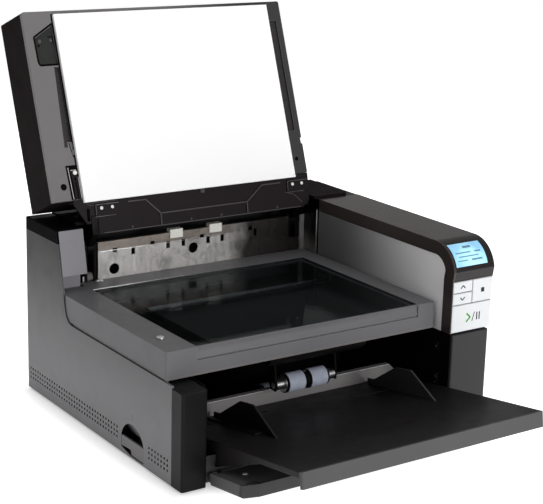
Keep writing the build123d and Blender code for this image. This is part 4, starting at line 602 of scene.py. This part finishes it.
class Coat(Enum):
    """Every finish on the machine."""

    # GRAPHITE and REAR carry painted shade towards the top, PANEL towards the back and STRIP towards the
    # right; FLAP carries painted light over its rear part.
    GRAPHITE = MouldedPlastic("graphite_plastic", (111, 110, 112), 0.42, painted_shading=0.94,
                              inside=PaintedInsideShade(0.2157))
    REAR = MouldedPlastic("rear_plastic", (111, 110, 112), 0.42, painted_shading=0.94)
    FRONT = MouldedPlastic("front_plastic", (52, 51, 52), 0.42)
    PANEL = MouldedPlastic("panel_plastic", (240, 237, 239), 0.42, painted_shading=0.845, painted_shading_axis="Y",
                           painted_shading_over=(-0.16, 0.06))
    BED = MouldedPlastic("bed_plastic", (96, 95, 97), 0.42)
    BLACK = MouldedPlastic("black_plastic", (14, 13, 13), 0.50, shine=0.15, wear_and_highlight=0.08, ior=1.15)
    CAP = MouldedPlastic("cap_plastic", (9, 8, 8), 0.55, shine=0.08, ior=1.15)
    PILLAR = MouldedPlastic("pillar_plastic", (20, 20, 20), 0.34, shine=0.25)
    BRACKET = MouldedPlastic("bracket_paint", (16, 15, 15), 0.35, ior=1.15)
    DARK = MouldedPlastic("dark_plastic", (31, 28, 28), 0.50, shine=0.2)
    TUB = MouldedPlastic("tub_plastic", (104, 101, 100), 0.50, shine=0.2)
    TAIL = MouldedPlastic("tail_plastic", (34, 30, 31), 0.45, shine=0.12, wear_and_highlight=0.25)
    LID = MouldedPlastic("lid_plastic", (26, 21, 22), 0.45, shine=0.12, wear_and_highlight=0.3, ior=1.10)
    STRIP = MouldedPlastic("strip_plastic", (110, 108, 109), 0.50, painted_shading=0.72, painted_shading_axis="X",
                           painted_shading_over=(-0.05, 0.12))
    RAMP = MouldedPlastic("ramp_plastic", (116, 113, 113), 0.50)
    TOWER = MouldedPlastic("tower_plastic", (124, 122, 126), 0.50)
    GLOSS = GlossPlastic("gloss_black", (56, 50, 48))
    BEZEL = GlossPlastic("bezel_black", (32, 29, 29), 0.12)
    BUTTON = MouldedPlastic("button_plastic", (208, 210, 212), 0.35, 0.1, mottle=0.03)
    PAD = MouldedPlastic("pad_white", (252, 252, 252), 0.55, 0.1, mottle=0.01)
    CLIP = MouldedPlastic("clip_white", (222, 220, 214), 0.45)
    FLAP = MouldedPlastic("flap_plastic", (66, 65, 65), 0.50, shine=0.2, ior=1.15, painted_shading=-0.9, painted_shading_axis="Y",
                          painted_shading_over=(-0.236, -0.230))
    LINER = MouldedPlastic("liner_plastic", (100, 98, 98), 0.50, shine=0.2, ior=1.15)
    FAR_GUIDE = MouldedPlastic("far_guide_plastic", (50, 49, 48), 0.38, shine=0.3, wear_and_highlight=1.0)
    LIP = MouldedPlastic("lip_plastic", (75, 74, 75), 0.42)
    TRAY = MouldedPlastic("tray_plastic", (30, 28, 28), 0.42, shine=0.3)
    GUIDE = MouldedPlastic("guide_plastic", (18, 17, 18), 0.38, shine=0.3, wear_and_highlight=1.0)
    INKY = MouldedPlastic("inky_plastic", (10, 9, 9), 0.6, shine=0.1, wear_and_highlight=0.0)
    CHANNEL = MouldedPlastic("channel_plastic", (50, 47, 47), 0.5, wear_and_highlight=0.2)
    RIB = MouldedPlastic("rib_plastic", (70, 67, 67), 0.4, wear_and_highlight=0.0)
    EDGE = MouldedPlastic("edge_plastic", (178, 176, 176), 0.4)
    BOARD = MouldedPlastic("board_green", (28, 84, 54), 0.35)
    STEEL = SheetSteel("galvanised_steel")
    PLATE = SheetSteel("rear_plate_steel", (214, 211, 209), stains_and_painted_light=PlateStainsAndPaintedLight())
    ARM_STEEL = SheetSteel("arm_steel", (17, 16, 16), 0.5)
    DULL_STEEL = SheetSteel("dull_steel", (104, 104, 105), 0.42)
    RECESS_STEEL = SheetSteel("recess_steel", (58, 60, 58), 0.42)
    BRIGHT = TurnedSteel("bright_steel")
    TYRE = Rubber("tyre_rubber", (148, 153, 168))
    FOOT = Rubber("foot_rubber", (26, 26, 26))
    GLASS = FloatGlass("platen_glass_clear")
    DISPLAY = LitDisplay("display_blue")
    INK = MouldedPlastic("icon_ink", (40, 42, 44), 0.5, 0.0, mottle=0.02, edge=0.0)
    GREEN = MouldedPlastic("icon_green", (62, 150, 40), 0.5, 0.0, mottle=0.02, edge=0.0)
    SCREEN_INK = MouldedPlastic("screen_ink", (104, 142, 166), 0.4, 0.0, mottle=0.02, edge=0.0)

    def material(self) -> bpy.types.Material:
        """The material of this finish, built once."""
        found = bpy.data.materials.get(finish_name(self.value.name))
        return found or self.value.build()


WORN: dict[Coat, tuple[str, ...]] = {
    Coat.GRAPHITE: ("left_side_cover", "right_side_cover"),
    Coat.REAR: ("rear_cover",),
    Coat.FRONT: ("front_right_panel",),
    Coat.PANEL: ("pod_side_panel",),
    Coat.BED: ("flatbed_frame",),
    Coat.BLACK: ("scan_carriage", "mains_inlet", "switch_frame", "power_switch",
                 "feed_bay", "feed_housing"),
    Coat.CAP: ("tower_cap",),
    Coat.PILLAR: ("front_left_pillar",),
    Coat.LIP: ("front_fascia", "tray_extender"),
    Coat.BRACKET: ("hinge_brackets",),
    Coat.DARK: ("base_pan", "guide_pinion"),
    Coat.LINER: ("flap_liner",),
    Coat.TUB: ("flatbed_tub",),
    Coat.INKY: ("button_plate",),
    Coat.TAIL: ("lid_tail", "arm_screw_plates"),
    Coat.LID: ("lid_shell", "top_deck"),
    Coat.STRIP: ("lid_inner_frame", "release_lever"),
    Coat.RAMP: ("feed_ramp",),
    Coat.TOWER: ("tower_front_cover",),
    Coat.GLOSS: ("pod_shell",),
    Coat.BEZEL: ("display_bezel",),
    Coat.BUTTON: ("up_button", "down_button", "stop_button", "start_button"),
    Coat.PAD: ("lid_pad",),
    Coat.CLIP: ("plate_tabs",),
    Coat.FLAP: ("front_flap",),
    Coat.TRAY: ("tray_plate",),
    Coat.GUIDE: ("left_guide",),
    Coat.FAR_GUIDE: ("right_guide",),
    Coat.BOARD: ("control_board", "main_board"),
    Coat.STEEL: ("rear_beam", "power_supply", "feed_motor"),
    Coat.ARM_STEEL: ("lid_arms", "hinge_pins"),
    Coat.PLATE: ("rear_plate",),
    Coat.BRIGHT: ("usb_socket", "lid_bumper", "carriage_rails", "feed_roller"),
    Coat.TYRE: ("feed_tyres", "separation_roller", "transport_roller"),
    Coat.FOOT: ("rubber_feet",),
    Coat.GLASS: ("platen_glass",),
    Coat.DISPLAY: ("lcd_window",),
}


@dataclass
class Dresser:
    """Gives the CAD nodes their finishes."""

    nodes: dict[str, bpy.types.Object]

    def build(self) -> None:
        """Put every finish on its nodes."""
        for coat, names in WORN.items():
            for name in names:
                materials = self.nodes[name].data.materials
                materials.clear()
                materials.append(coat.material())
                LOG.info("dressed %s in %s", name, coat.value.name)


class Piece:
    """A mesh under construction, which becomes one object at the origin."""

    sharp_from: float = 35.0

    def __init__(self, name: str) -> None:
        """Start an empty mesh for an object of this name."""
        self.name = name
        self.mesh = bmesh.new()

    def slab(self, low: Point, high: Point, round_by: float = 0.0) -> "Piece":
        """Add a box between two corners, in millimetres, with rounded edges.

        Args:
            low: Lowest corner.
            high: Highest corner.
            round_by: Radius of the edges.

        Returns:
            This piece.
        """
        made = bmesh.ops.create_cube(self.mesh, size=1.0)["verts"]
        size = Vector(high) - Vector(low)
        middle = (Vector(high) + Vector(low)) / 2
        bmesh.ops.scale(self.mesh, vec=size * MM, verts=made)
        bmesh.ops.translate(self.mesh, vec=middle * MM, verts=made)
        if round_by:
            edges = list({edge for vert in made for edge in vert.link_edges})
            bmesh.ops.bevel(self.mesh, geom=edges, offset=round_by * MM, affect="EDGES", segments=2,
                            profile=0.5, material=-1)
        return self

    def _island(self, verts: Iterable[bmesh.types.BMVert]) -> list[bmesh.types.BMVert]:
        """Every vertex joined to the ones given."""
        found = set(verts)
        queue = list(found)
        while queue:
            vert = queue.pop()
            for edge in vert.link_edges:
                other = edge.other_vert(vert)
                if other not in found:
                    found.add(other)
                    queue.append(other)
        return list(found)

    def post(self, base: Point, axis: Point, radius: float, length: float, sides: int = 24,
             round_by: float = 0.0) -> "Piece":
        """Add a round post, in millimetres.

        Args:
            base: Centre of its first end.
            axis: Direction of its length.
            radius: Its radius.
            length: Its length.
            sides: Number of sides.
            round_by: Radius of the rim at its far end.

        Returns:
            This piece.
        """
        made = bmesh.ops.create_cone(self.mesh, cap_ends=True, segments=sides, radius1=radius * MM,
                                     radius2=radius * MM, depth=length * MM)["verts"]
        turn = Vector((0, 0, 1)).rotation_difference(Vector(axis).normalized()).to_matrix().to_4x4()
        middle = Vector(base) * MM + Vector(axis).normalized() * (length * MM / 2)
        if round_by:
            rim = [edge for edge in {e for v in made for e in v.link_edges}
                   if all(v.co.z > 0 for v in edge.verts)]
            bmesh.ops.bevel(self.mesh, geom=rim, offset=round_by * MM, affect="EDGES", segments=3,
                            profile=0.5, material=-1)
            made = self._island([v for v in made if v.is_valid])
        bmesh.ops.transform(self.mesh, matrix=Matrix.Translation(middle) @ turn, verts=made)
        return self

    def bar(self, start: Spot, end: Spot, width: float, low: float, high: float) -> "Piece":
        """Add an upright bar between two points of the plan and two heights, in millimetres."""
        return self.outline([(x, y, low) for x, y in stroke(start, end, width)], (0, 0, high - low))

    def turned(self, place: Matrix) -> "Piece":
        """Move the whole piece by a transform in metres."""
        bmesh.ops.transform(self.mesh, matrix=place, verts=self.mesh.verts)
        return self

    def outline(self, corners: list[Point], thickness: Point) -> "Piece":
        """Add a flat shape of any outline, in millimetres, pushed out by a vector.

        Args:
            corners: Its corners in order.
            thickness: How far and which way it is pushed out.

        Returns:
            This piece.
        """
        verts = [self.mesh.verts.new(Vector(corner) * MM) for corner in corners]
        face = self.mesh.faces.new(verts)
        pushed = bmesh.ops.extrude_face_region(self.mesh, geom=[face], use_keep_orig=True)["geom"]
        moved = [item for item in pushed if isinstance(item, bmesh.types.BMVert)]
        bmesh.ops.translate(self.mesh, vec=Vector(thickness) * MM, verts=moved)
        return self

    def build(self, coat: Coat, body: str, slot: str, smooth: bool = True) -> None:
        """Finish the piece.

        Args:
            coat: Its finish.
            body: The CAD body that it rides on.
            slot: The record's material slot for the piece; not used.
            smooth: Whether shallow edges are shaded smooth.
        """
        bmesh.ops.recalc_face_normals(self.mesh, faces=self.mesh.faces)
        data = bpy.data.meshes.new(self.name)
        self.mesh.to_mesh(data)
        self.mesh.free()
        made = bpy.data.objects.new(self.name, data)
        bpy.context.scene.collection.objects.link(made)
        data.materials.append(coat.material())
        if smooth:
            data.shade_smooth()
            data.set_sharp_from_angle(angle=math.radians(self.sharp_from))
        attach(made, body)
        LOG.info("built %s with %d faces", self.name, len(data.polygons))


@dataclass
class ControlPod:
    """Icons of the buttons."""

    face_y: float = -173.7
    ink: float = 0.12
    line: float = 1.3
    arrow_x: float = 170.4
    arrow_half: Spot = (3.4, 1.8)

    def _bar(self, piece: Piece, start: Spot, end: Spot, width: float) -> None:
        """Add a printed stroke between two places in X and Z on the buttons' face."""
        piece.outline([(x, self.face_y, z) for x, z in stroke(start, end, width)], (0, -self.ink, 0))

    def chevrons(self) -> None:
        """Print the up and down marks."""
        wide, tall = self.arrow_half
        for name, body, z, way in (("up_mark", "up_button", 167.8, 1),
                                   ("down_mark", "down_button", 153.3, -1)):
            piece = Piece(name)
            for side in (-1, 1):
                self._bar(piece, (self.arrow_x + side * wide, z - way * tall),
                          (self.arrow_x, z + way * tall), self.line)
            piece.build(Coat.INK, body, "button_plastic", smooth=False)

    def stop_mark(self) -> None:
        """Print the square on the stop button."""
        piece = Piece("stop_mark")
        self._bar(piece, (198.6, 160.4), (203.6, 160.4), 5.4)
        piece.build(Coat.INK, "stop_button", "button_plastic", smooth=False)

    def start_mark(self) -> None:
        """Print the run, stroke and pause marks on the start button."""
        run = Piece("run_mark")
        for way in (-1, 1):
            self._bar(run, (178.0, 129.0 + way * 5.2), (184.0, 129.0), 2.0)
        run.build(Coat.GREEN, "start_button", "button_plastic", smooth=False)
        pause = Piece("pause_mark")
        self._bar(pause, (187.0, 123.6), (190.4, 134.6), 1.1)
        self._bar(pause, (194.2, 124.4), (194.2, 133.8), 1.6)
        self._bar(pause, (198.2, 124.4), (198.2, 133.8), 1.6)
        pause.build(Coat.INK, "start_button", "button_plastic", smooth=False)

    def build(self) -> None:
        """Build every mark."""
        self.chevrons()
        self.stop_mark()
        self.start_mark()


@dataclass
class DisplayPicture:
    """Faint generic marks on the lit display."""

    window: bpy.types.Object
    lift: float = 0.12
    start_y: float = -0.3
    depth: Point = (0, -0.06, 0.04)

    def corner(self, tree: BVHTree, x: float, z: float) -> Point:
        """A point on the window's face, in millimetres.

        Args:
            tree: The window's faces.
            x: Its place along X.
            z: Its place along Z.

        Returns:
            The point, lifted a little off the face.
        """
        place, normal, _face, _reach = tree.ray_cast(Vector((x * MM, self.start_y, z * MM)),
                                                    Vector((0, 1, 0)))
        lifted = place / MM + normal * self.lift
        return lifted.x, lifted.y, lifted.z

    def build(self) -> None:
        """Build the marks: a title, lines and a small stack of bars."""
        mesh = bmesh.new()
        mesh.from_mesh(self.window.data)
        tree = BVHTree.FromBMesh(mesh)
        mesh.free()
        marks = Piece("display_marks")
        rows = ((178.0, 190.0, 211.2, 0.9), (163.0, 186.0, 206.4, 0.5), (166.0, 196.0, 202.6, 0.5),
                (163.0, 178.0, 198.6, 0.5), (184.0, 200.0, 198.6, 0.9), (192.0, 201.0, 206.4, 0.7))
        for left, right, z, tall in rows:
            corners = ((left, z - tall), (right, z - tall), (right, z + tall), (left, z + tall))
            marks.outline([self.corner(tree, x, height) for x, height in corners], self.depth)
        marks.build(Coat.SCREEN_INK, "case", "display", smooth=False)


@dataclass
class LidTrim:
    """What shows round the pad and on the tail, drawn on the closed lid and turned open."""

    hinge_y: float = 129.6
    hinge_z: float = 186.2
    turn_deg: float = -110.2
    face_z: float = 151.0
    rear_y: float = 74.4
    tail_rear_y: float = 117.8
    tail_rear_z: float = 158.5
    recess_depth: float = 3.0
    plates_x: Spot = (-159.7, 115.5)
    screw_y: float = 87.8
    peg_y: float = 114.2

    def opened(self) -> Matrix:
        """The turn that opens the lid, in metres."""
        hinge = Matrix.Translation(Vector((0, self.hinge_y, self.hinge_z)) * MM)
        return hinge @ Matrix.Rotation(math.radians(self.turn_deg), 4, "X") @ hinge.inverted()

    def tail_z(self, y: float) -> float:
        """Height of the tail's face at a place along Y."""
        slope = (self.tail_rear_z - self.face_z) * (y - self.rear_y)
        return self.face_z + slope / (self.tail_rear_y - self.rear_y)

    def finish(self, piece: Piece, coat: Coat, slot: str = "dark_plastic") -> None:
        """Turn a piece with the lid and build it."""
        piece.turned(self.opened()).build(coat, "lid", slot, smooth=False)

    def tail_bar(self, piece: Piece, start: Spot, end: Spot, width: float, proud: float,
                 thick: float = 0.3) -> None:
        """Add a bar whose lower face stands proud of the sloping tail."""
        corners = [(x, y, self.tail_z(y) - proud) for x, y in stroke(start, end, width)]
        piece.outline(corners, (0, 0, thick))

    def recess(self) -> None:
        """Line the recess beside the pad with strips of painted shade, and put its plate and screws in it,
        with a hole and marks in painted shadow.
        """
        deep = self.face_z + self.recess_depth
        # Painted shade: black strips along the recess walls.
        lining = Piece("recess_shade_lining")
        corners = [(-176.4, -136.0), (-202.3, -120.6), (-201.4, -90.2), (-199.7, -86.9), (-176.4, -86.9)]
        for start, end in zip(corners, corners[1:]):
            lining.bar(start, end, 2.2, self.face_z - 0.1, deep - 0.1)
        self.finish(lining, Coat.INKY)
        inside = [(-176.8, -133.0), (-200.6, -119.0), (-199.8, -92.0), (-197.6, -88.4), (-176.8, -88.4)]
        plate = Piece("recess_plate").outline([(x, y, deep - 0.6) for x, y in inside], (0, 0, 0.5))
        self.finish(plate, Coat.RECESS_STEEL, "galvanised_steel")
        self.finish(Piece("pad_gap").slab((-176.6, -147.0, self.face_z - 0.12),
                                          (-174.6, 34.0, self.face_z + 0.1)), Coat.INKY)
        screws = Piece("recess_screws")
        for x, y, radius in ((-195.2, -115.7, 2.3), (-180.6, -116.5, 1.7)):
            screws.post((x, y, deep - 0.7), (0, 0, -1), radius, 1.0, 16, 0.3)
        self.finish(screws, Coat.DULL_STEEL, "bright_steel")
        dark = Piece("recess_shadow_marks")
        dark.post((-197.0, -110.6, deep - 0.62), (0, 0, -1), 1.5, 0.2, 12)
        dark.bar((-183.6, -120.4), (-177.4, -121.2), 1.1, deep - 0.9, deep - 0.62)
        dark.bar((-177.6, -121.2), (-177.6, -112.0), 0.9, deep - 0.9, deep - 0.62)
        self.finish(dark, Coat.INKY)

    def channels(self) -> None:
        """Fill the grooves beside the pad with dark floors, and the two holes with black floors of painted
        shade.
        """
        deep = self.face_z + self.recess_depth
        left = Piece("left_channel_floor")
        left.slab((-182.1, -83.8, deep - 0.5), (-176.0, 5.8, deep - 0.05), 0.1)
        for y in range(-78, 6, 7):
            left.slab((-181.6, y, deep - 1.2), (-177.2, y + 3.2, deep - 0.4), 0.3)
        bank = [(-182.6, -84.0), (-182.0, -84.0), (-182.0, 12.0), (-186.4, 12.0)]
        left.outline([(x, y, self.face_z - 0.12) for x, y in bank], (0, 0, 0.2))
        self.finish(left, Coat.CHANNEL)
        right = Piece("right_channel_floor")
        right.slab((129.5, -125.8, deep - 0.5), (141.1, 18.8, deep - 0.05), 0.1)
        for y in range(-118, 16, 11):
            right.slab((131.0, y, deep - 1.4), (139.6, y + 4.6, deep - 0.4), 0.4)
        self.finish(right, Coat.CHANNEL)
        # Painted shade: black floors in the two holes.
        holes = Piece("lid_hole_shade_floors")
        holes.post((-196.0, 58.1, deep - 0.05), (0, 0, -1), 3.9, 2.6, 28)
        holes.post((136.8, 55.6, deep - 0.05), (0, 0, -1), 2.9, 2.9, 24)
        self.finish(holes, Coat.INKY)
        clips = Piece("channel_clips")
        clips.slab((-179.6, 7.6, self.face_z - 0.5), (-175.8, 12.2, self.face_z + 0.3), 0.4)
        clips.slab((-178.2, 15.4, self.face_z - 0.5), (-174.9, 21.6, self.face_z + 0.3), 0.4)
        self.finish(clips, Coat.DULL_STEEL, "galvanised_steel")
        rim = Piece("channel_clip_shadows")
        rim.bar((-180.4, 7.0), (-176.8, 24.6), 0.9, self.face_z - 0.3, self.face_z + 0.1)
        rim.bar((-176.8, 24.6), (-174.8, 26.2), 0.9, self.face_z - 0.3, self.face_z + 0.1)
        self.finish(rim, Coat.INKY)

    def left_bracket(self) -> None:
        """Build the bracket that runs down beside the pad to the left arm, with a painted shadow round it
        and painted highlights along its rims.
        """
        top = self.face_z
        shadow = [(-189.6, 33.6), (-174.6, 33.6), (-174.6, 74.2), (-188.4, 74.2)]
        strip = [(-184.6, 39.0), (-177.2, 39.0), (-177.2, 74.2), (-183.4, 74.2), (-182.6, 56.0)]
        for name, plan, proud, thick, coat in (("bracket_shadow", shadow, 0.25, 0.3, Coat.INKY),
                                               ("bracket_strip", strip, 0.75, 0.5, Coat.DARK)):
            self.finish(Piece(name).outline([(x, y, top - proud) for x, y in plan], (0, 0, thick)), coat)
        # Painted highlights: light lines along the bracket's edges.
        rims = Piece("bracket_rim_highlights")
        rims.bar((-187.0, 36.0), (-185.6, 73.8), 0.7, top - 0.5, top - 0.2)
        rims.bar((-175.6, 48.0), (-175.4, 73.8), 0.7, top - 0.5, top - 0.2)
        rims.bar((-184.6, 39.4), (-177.2, 39.4), 0.6, top - 1.0, top - 0.7)
        self.finish(rims, Coat.EDGE)
        slot = Piece("bracket_slot")
        slot.bar((-179.9, 53.0), (-179.2, 73.6), 1.6, top - 0.95, top - 0.7)
        slot.post((-180.0, 49.8, top - 0.7), (0, 0, -1), 1.8, 0.2, 16)
        self.finish(slot, Coat.INKY)
        cap = Piece("bracket_cap").post((-179.2, 42.6, top - 0.7), (0, 0, -1), 2.7, 1.2, 20, 0.5)
        self.finish(cap, Coat.CLIP, "clip_white")

    def tail(self) -> None:
        """Paint highlights along the tail's ribs and far edge, and add its pegs and the screw plates'
        screws and frames.
        """
        # Painted highlights: light strips along the ribs, the far edge and near the tail's ends.
        ribs = Piece("tail_rib_highlights")
        near, mid, far = self.rear_y + 9.5, self.rear_y + 28.0, self.tail_rear_y - 1.4
        lines = ((-116, near, -92, near), (-92, near, -72, mid), (-72, mid, 53, mid), (53, mid, 77, near),
                 (77, near, 105, near), (-72, mid, -72, far), (53, mid, 53, far))
        for x0, y0, x1, y1 in lines:
            self.tail_bar(ribs, (x0, y0), (x1, y1), 1.6, 1.8, 0.25)
        self.tail_bar(ribs, (-150.0, far + 0.6), (136.0, far + 0.6), 1.2, 0.3, 0.35)
        for drop in (0.0, 2.6):
            self.tail_bar(ribs, (-170.6, 77.0 + drop), (-166.6, 80.4 + drop), 0.8, 0.3)
            self.tail_bar(ribs, (-166.6, 80.4 + drop), (-131.0, 80.4 + drop), 0.8, 0.3)
        self.tail_bar(ribs, (112.8, 96.5), (126.0, 100.5), 0.9, 0.3)
        self.tail_bar(ribs, (126.0, 100.5), (138.3, 111.6), 0.9, 0.3)
        self.finish(ribs, Coat.RIB)
        pegs = Piece("tail_pegs")
        for x in (-112.0, -29.4, 14.3, 98.5):
            pegs.post((x, self.peg_y, self.tail_z(self.peg_y)), (0, 0, -1), 1.5, 1.3, 16, 0.4)
        block_z = self.tail_z(82.0)
        pegs.slab((-14.0, 79.6, block_z - 1.9), (-7.6, 84.4, block_z + 0.2), 0.5)
        self.finish(pegs, Coat.RIB)
        screws = Piece("arm_plate_screws")
        frames = Piece("arm_plate_rims")
        for x in self.plates_x:
            for along in (7.2, 21.5):
                screws.post((x + along, self.screw_y, self.tail_z(self.screw_y) - 3.6), (0, 0, -1),
                            2.1, 0.5, 20, 0.2)
            self.tail_bar(frames, (x + 0.3, 83.3), (x + 30.7, 83.3), 0.7, 2.6)
            self.tail_bar(frames, (x + 0.4, 83.3), (x + 0.4, 95.4), 0.5, 2.6)
            self.tail_bar(frames, (x + 0.3, 97.2), (x + 27.0, 97.2), 0.6, 0.3)
        self.finish(screws, Coat.CLIP, "bright_steel")
        self.finish(frames, Coat.DULL_STEEL, "bright_steel")

    def build(self) -> None:
        """Build everything on the lid."""
        self.recess()
        self.channels()
        self.left_bracket()
        self.tail()


@dataclass
class FeedTrim:
    """Black rings between the feed tyres, and a painted highlight along the fold of the ramp."""

    axis_y: float = -116.0
    axis_z: float = 69.6
    ring_radius: float = 11.0
    hub_radius: float = 10.3
    sides: int = 40

    def build(self) -> None:
        """Build the rings, which turn with the roller, and the painted highlight on the ramp's fold."""
        rings = Piece("feed_rings")
        for start, width in ((-41.6, 2.5), (-16.9, 2.2), (-10.3, 2.2), (14.1, 2.5)):
            rings.post((start, self.axis_y, self.axis_z), (1, 0, 0), self.ring_radius, width,
                       self.sides, 0.4)
        rings.post((-14.8, self.axis_y, self.axis_z), (1, 0, 0), self.hub_radius, 4.6, self.sides)
        rings.build(Coat.INKY, "feed_roller", "rubber")
        # Painted highlight: a light strip along the ramp's fold.
        fold = Piece("ramp_fold_highlight").slab((-165.6, -82.3, 49.4), (138.6, -81.9, 50.0), 0.1)
        fold.build(Coat.EDGE, "case", "light_grey_plastic")


@dataclass
class BayTrim:
    """Small fittings on the feed bay's right wall and black sheets of painted shade behind the vents."""

    wall_x: float = 156.8
    plate_proud: float = 1.3
    cover_inside_x: float = 213.45
    lining: float = 0.3

    def fittings(self) -> None:
        """Build two plates with their pins."""
        plates = Piece("bay_wall_plates")
        left, right = self.wall_x - self.plate_proud, self.wall_x + 0.2
        plates.slab((left, -152.0, 86.0), (right, -144.5, 96.0), 0.5)
        plates.slab((left, -154.0, 40.0), (right, -147.0, 58.0), 0.5)
        plates.build(Coat.BRACKET, "case", "black_plastic")
        pins = Piece("bay_wall_pins")
        for y, z, radius in ((-148.6, 90.0, 1.8), (-150.6, 53.0, 2.2), (-149.0, 45.0, 1.5)):
            pins.post((self.wall_x - 1.2, y, z), (-1, 0, 0), radius, 0.4, 20, 0.1)
        pins.build(Coat.DULL_STEEL, "case", "galvanised_steel")

    def linings(self) -> None:
        """Build the black sheets of painted shade behind both rows of vents."""
        # Painted shade: black sheets where the vents would show the dark inside.
        sheets = Piece("vent_shade_linings")
        for side in (-1, 1):
            near, far = sorted((side * self.cover_inside_x, side * (self.cover_inside_x - self.lining)))
            for front, back in ((-160.0, -113.0), (-50.0, 179.5)):
                sheets.slab((near, front, 14.0), (far, back, 32.0))
        sheets.build(Coat.INKY, "case", "black_plastic", smooth=False)

    def build(self) -> None:
        """Build them all."""
        self.fittings()
        self.linings()


@dataclass
class FlapTrim:
    """The screw in the front flap."""

    place: Point = (-155.0, -212.6, 20.6)
    axis: Point = (0, 0.1478, 0.989)

    def build(self) -> None:
        """Build the bright screw head."""
        screw = Piece("flap_screw").post(self.place, self.axis, 2.5, 0.9, 20, 0.3)
        screw.build(Coat.CLIP, "flap", "bright_steel")


@dataclass
class RearTrim:
    """The rear plate's bright seam and the bright front edge of its flange."""

    def build(self) -> None:
        """Build them."""
        edge = Piece("flange_edge").slab((151.1, 93.65, 117.4), (152.9, 94.0, 204.4), 0.1)
        seam = Piece("rear_plate_seam").slab((-151.6, 119.9, 180.6), (30.0, 120.2, 181.3), 0.1)
        for piece in (edge, seam):
            piece.build(Coat.BRIGHT, "case", "galvanised_steel")


@dataclass
class GlassSurround:
    """The bright trim behind the glass, with a clip and the hinge's side pin."""

    rear_y: float = 84.9
    top_z: float = 146.7

    def build(self) -> None:
        """Build them."""
        trim = Piece("glass_rear_trim")
        trim.slab((-177, self.rear_y, self.top_z), (-52, self.rear_y + 1.5, self.top_z + 0.5), 0.15)
        trim.build(Coat.BRIGHT, "flatbed", "bright_steel")
        clip = Piece("flatbed_rear_clip")
        clip.slab((-157.5, 113.5, self.top_z - 0.3), (-149.0, 116.6, self.top_z + 1.5), 0.3)
        clip.slab((-152.5, 111.0, self.top_z - 0.3), (-149.6, 117.8, self.top_z + 0.8), 0.2)
        clip.build(Coat.EDGE, "flatbed", "clip_white")
        pin = Piece("hinge_side_pin").post((-169.2, 125.2, 143.0), (0, 0, 1), 1.1, 8.6, 20, 0.3)
        pin.build(Coat.CLIP, "case", "clip_white")


@dataclass
class Studio:
    """Camera, sweep and lights."""

    eye: Point = (-0.96214, -1.42509, 0.66477)
    yaw: float = 34.93
    pitch: float = -15.18
    roll: float = 1.68
    lens: float = 99.40
    sensor: float = 36.0
    reach: float = 50.0
    shift: Spot = (-0.0200, -0.0105)
    room: float = 0.38
    floor_half: float = 6.0

    def camera(self) -> None:
        """Place the camera of the photograph."""
        yaw, pitch, roll = (math.radians(v) for v in (self.yaw, self.pitch, self.roll))
        ahead = Vector((math.sin(yaw) * math.cos(pitch), math.cos(yaw) * math.cos(pitch), math.sin(pitch)))
        level = Vector((math.cos(yaw), -math.sin(yaw), 0))
        over = level.cross(ahead)
        right = level * math.cos(roll) + over * math.sin(roll)
        up = over * math.cos(roll) - level * math.sin(roll)
        data = bpy.data.cameras.new("camera")
        data.lens = self.lens
        data.sensor_width = self.sensor
        data.sensor_fit = "HORIZONTAL"
        data.shift_x, data.shift_y = self.shift
        data.clip_end = self.reach
        made = bpy.data.objects.new("camera", data)
        turn = Matrix((right, up, -ahead)).transposed().to_4x4()
        made.matrix_world = Matrix.Translation(Vector(self.eye)) @ turn
        bpy.context.scene.collection.objects.link(made)
        bpy.context.scene.camera = made

    def light(self, name: str, place: Point, aim: Point, size: Spot, power: float) -> None:
        """Add one soft box.

        Args:
            name: Its name.
            place: Where it stands.
            aim: What it points at.
            size: Its width and height.
            power: Its power in watts.
        """
        data = bpy.data.lights.new(name, "AREA")
        data.shape = "RECTANGLE"
        data.size, data.size_y = size
        data.energy = power
        made = bpy.data.objects.new(name, data)
        turn = (Vector(aim) - Vector(place)).to_track_quat("-Z", "Y").to_matrix().to_4x4()
        made.matrix_world = Matrix.Translation(Vector(place)) @ turn
        bpy.context.scene.collection.objects.link(made)

    def sweep(self) -> None:
        """Lay the pale floor."""
        mesh = bmesh.new()
        bmesh.ops.create_grid(mesh, x_segments=1, y_segments=1, size=self.floor_half)
        data = bpy.data.meshes.new("floor")
        mesh.to_mesh(data)
        mesh.free()
        floor = bpy.data.objects.new("floor", data)
        data.materials.append(FloorPaint().build())
        bpy.context.scene.collection.objects.link(floor)

    def surroundings(self) -> None:
        """Light the machine by a dim room and show the camera a white backdrop."""
        world = bpy.data.worlds.new("studio")
        world.use_nodes = True
        tree = world.node_tree
        backdrop = tree.nodes["Background"]
        backdrop.inputs[0].default_value = grey(1.0)
        room = tree.nodes.new("ShaderNodeBackground")
        room.inputs[1].default_value = self.room
        seen = tree.nodes.new("ShaderNodeLightPath")
        both = tree.nodes.new("ShaderNodeMixShader")
        tree.links.new(seen.outputs["Is Camera Ray"], both.inputs[0])
        tree.links.new(room.outputs[0], both.inputs[1])
        tree.links.new(backdrop.outputs[0], both.inputs[2])
        tree.links.new(both.outputs[0], tree.nodes["World Output"].inputs["Surface"])
        bpy.context.scene.world = world

    def build(self) -> None:
        """Build the whole studio."""
        self.surroundings()
        bpy.context.scene.view_settings.view_transform = "Standard"
        self.camera()
        self.sweep()
        self.light("top_box", (0.1, 0.2, 1.9), (0, 0, 0.1), (1.6, 1.6), 8)
        self.light("front_box", (0.3, -2.1, 0.5), (0, -0.15, 0.1), (0.9, 0.5), 25)
        self.light("back_box", (0.3, 1.6, 1.0), (0, 0.1, 0.15), (1.2, 0.6), 9)


def main() -> None:
    """Dress the machine, add its details and set up the studio."""
    logging.basicConfig(level=logging.INFO)
    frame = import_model()
    nodes = frame["nodes"]
    for assembly in (Dresser(nodes), ControlPod(), DisplayPicture(nodes["lcd_window"]), LidTrim(),
                     FeedTrim(), BayTrim(), FlapTrim(), RearTrim(), GlassSurround(), Studio()):
        assembly.build()


if __name__ == "__main__":
    main()
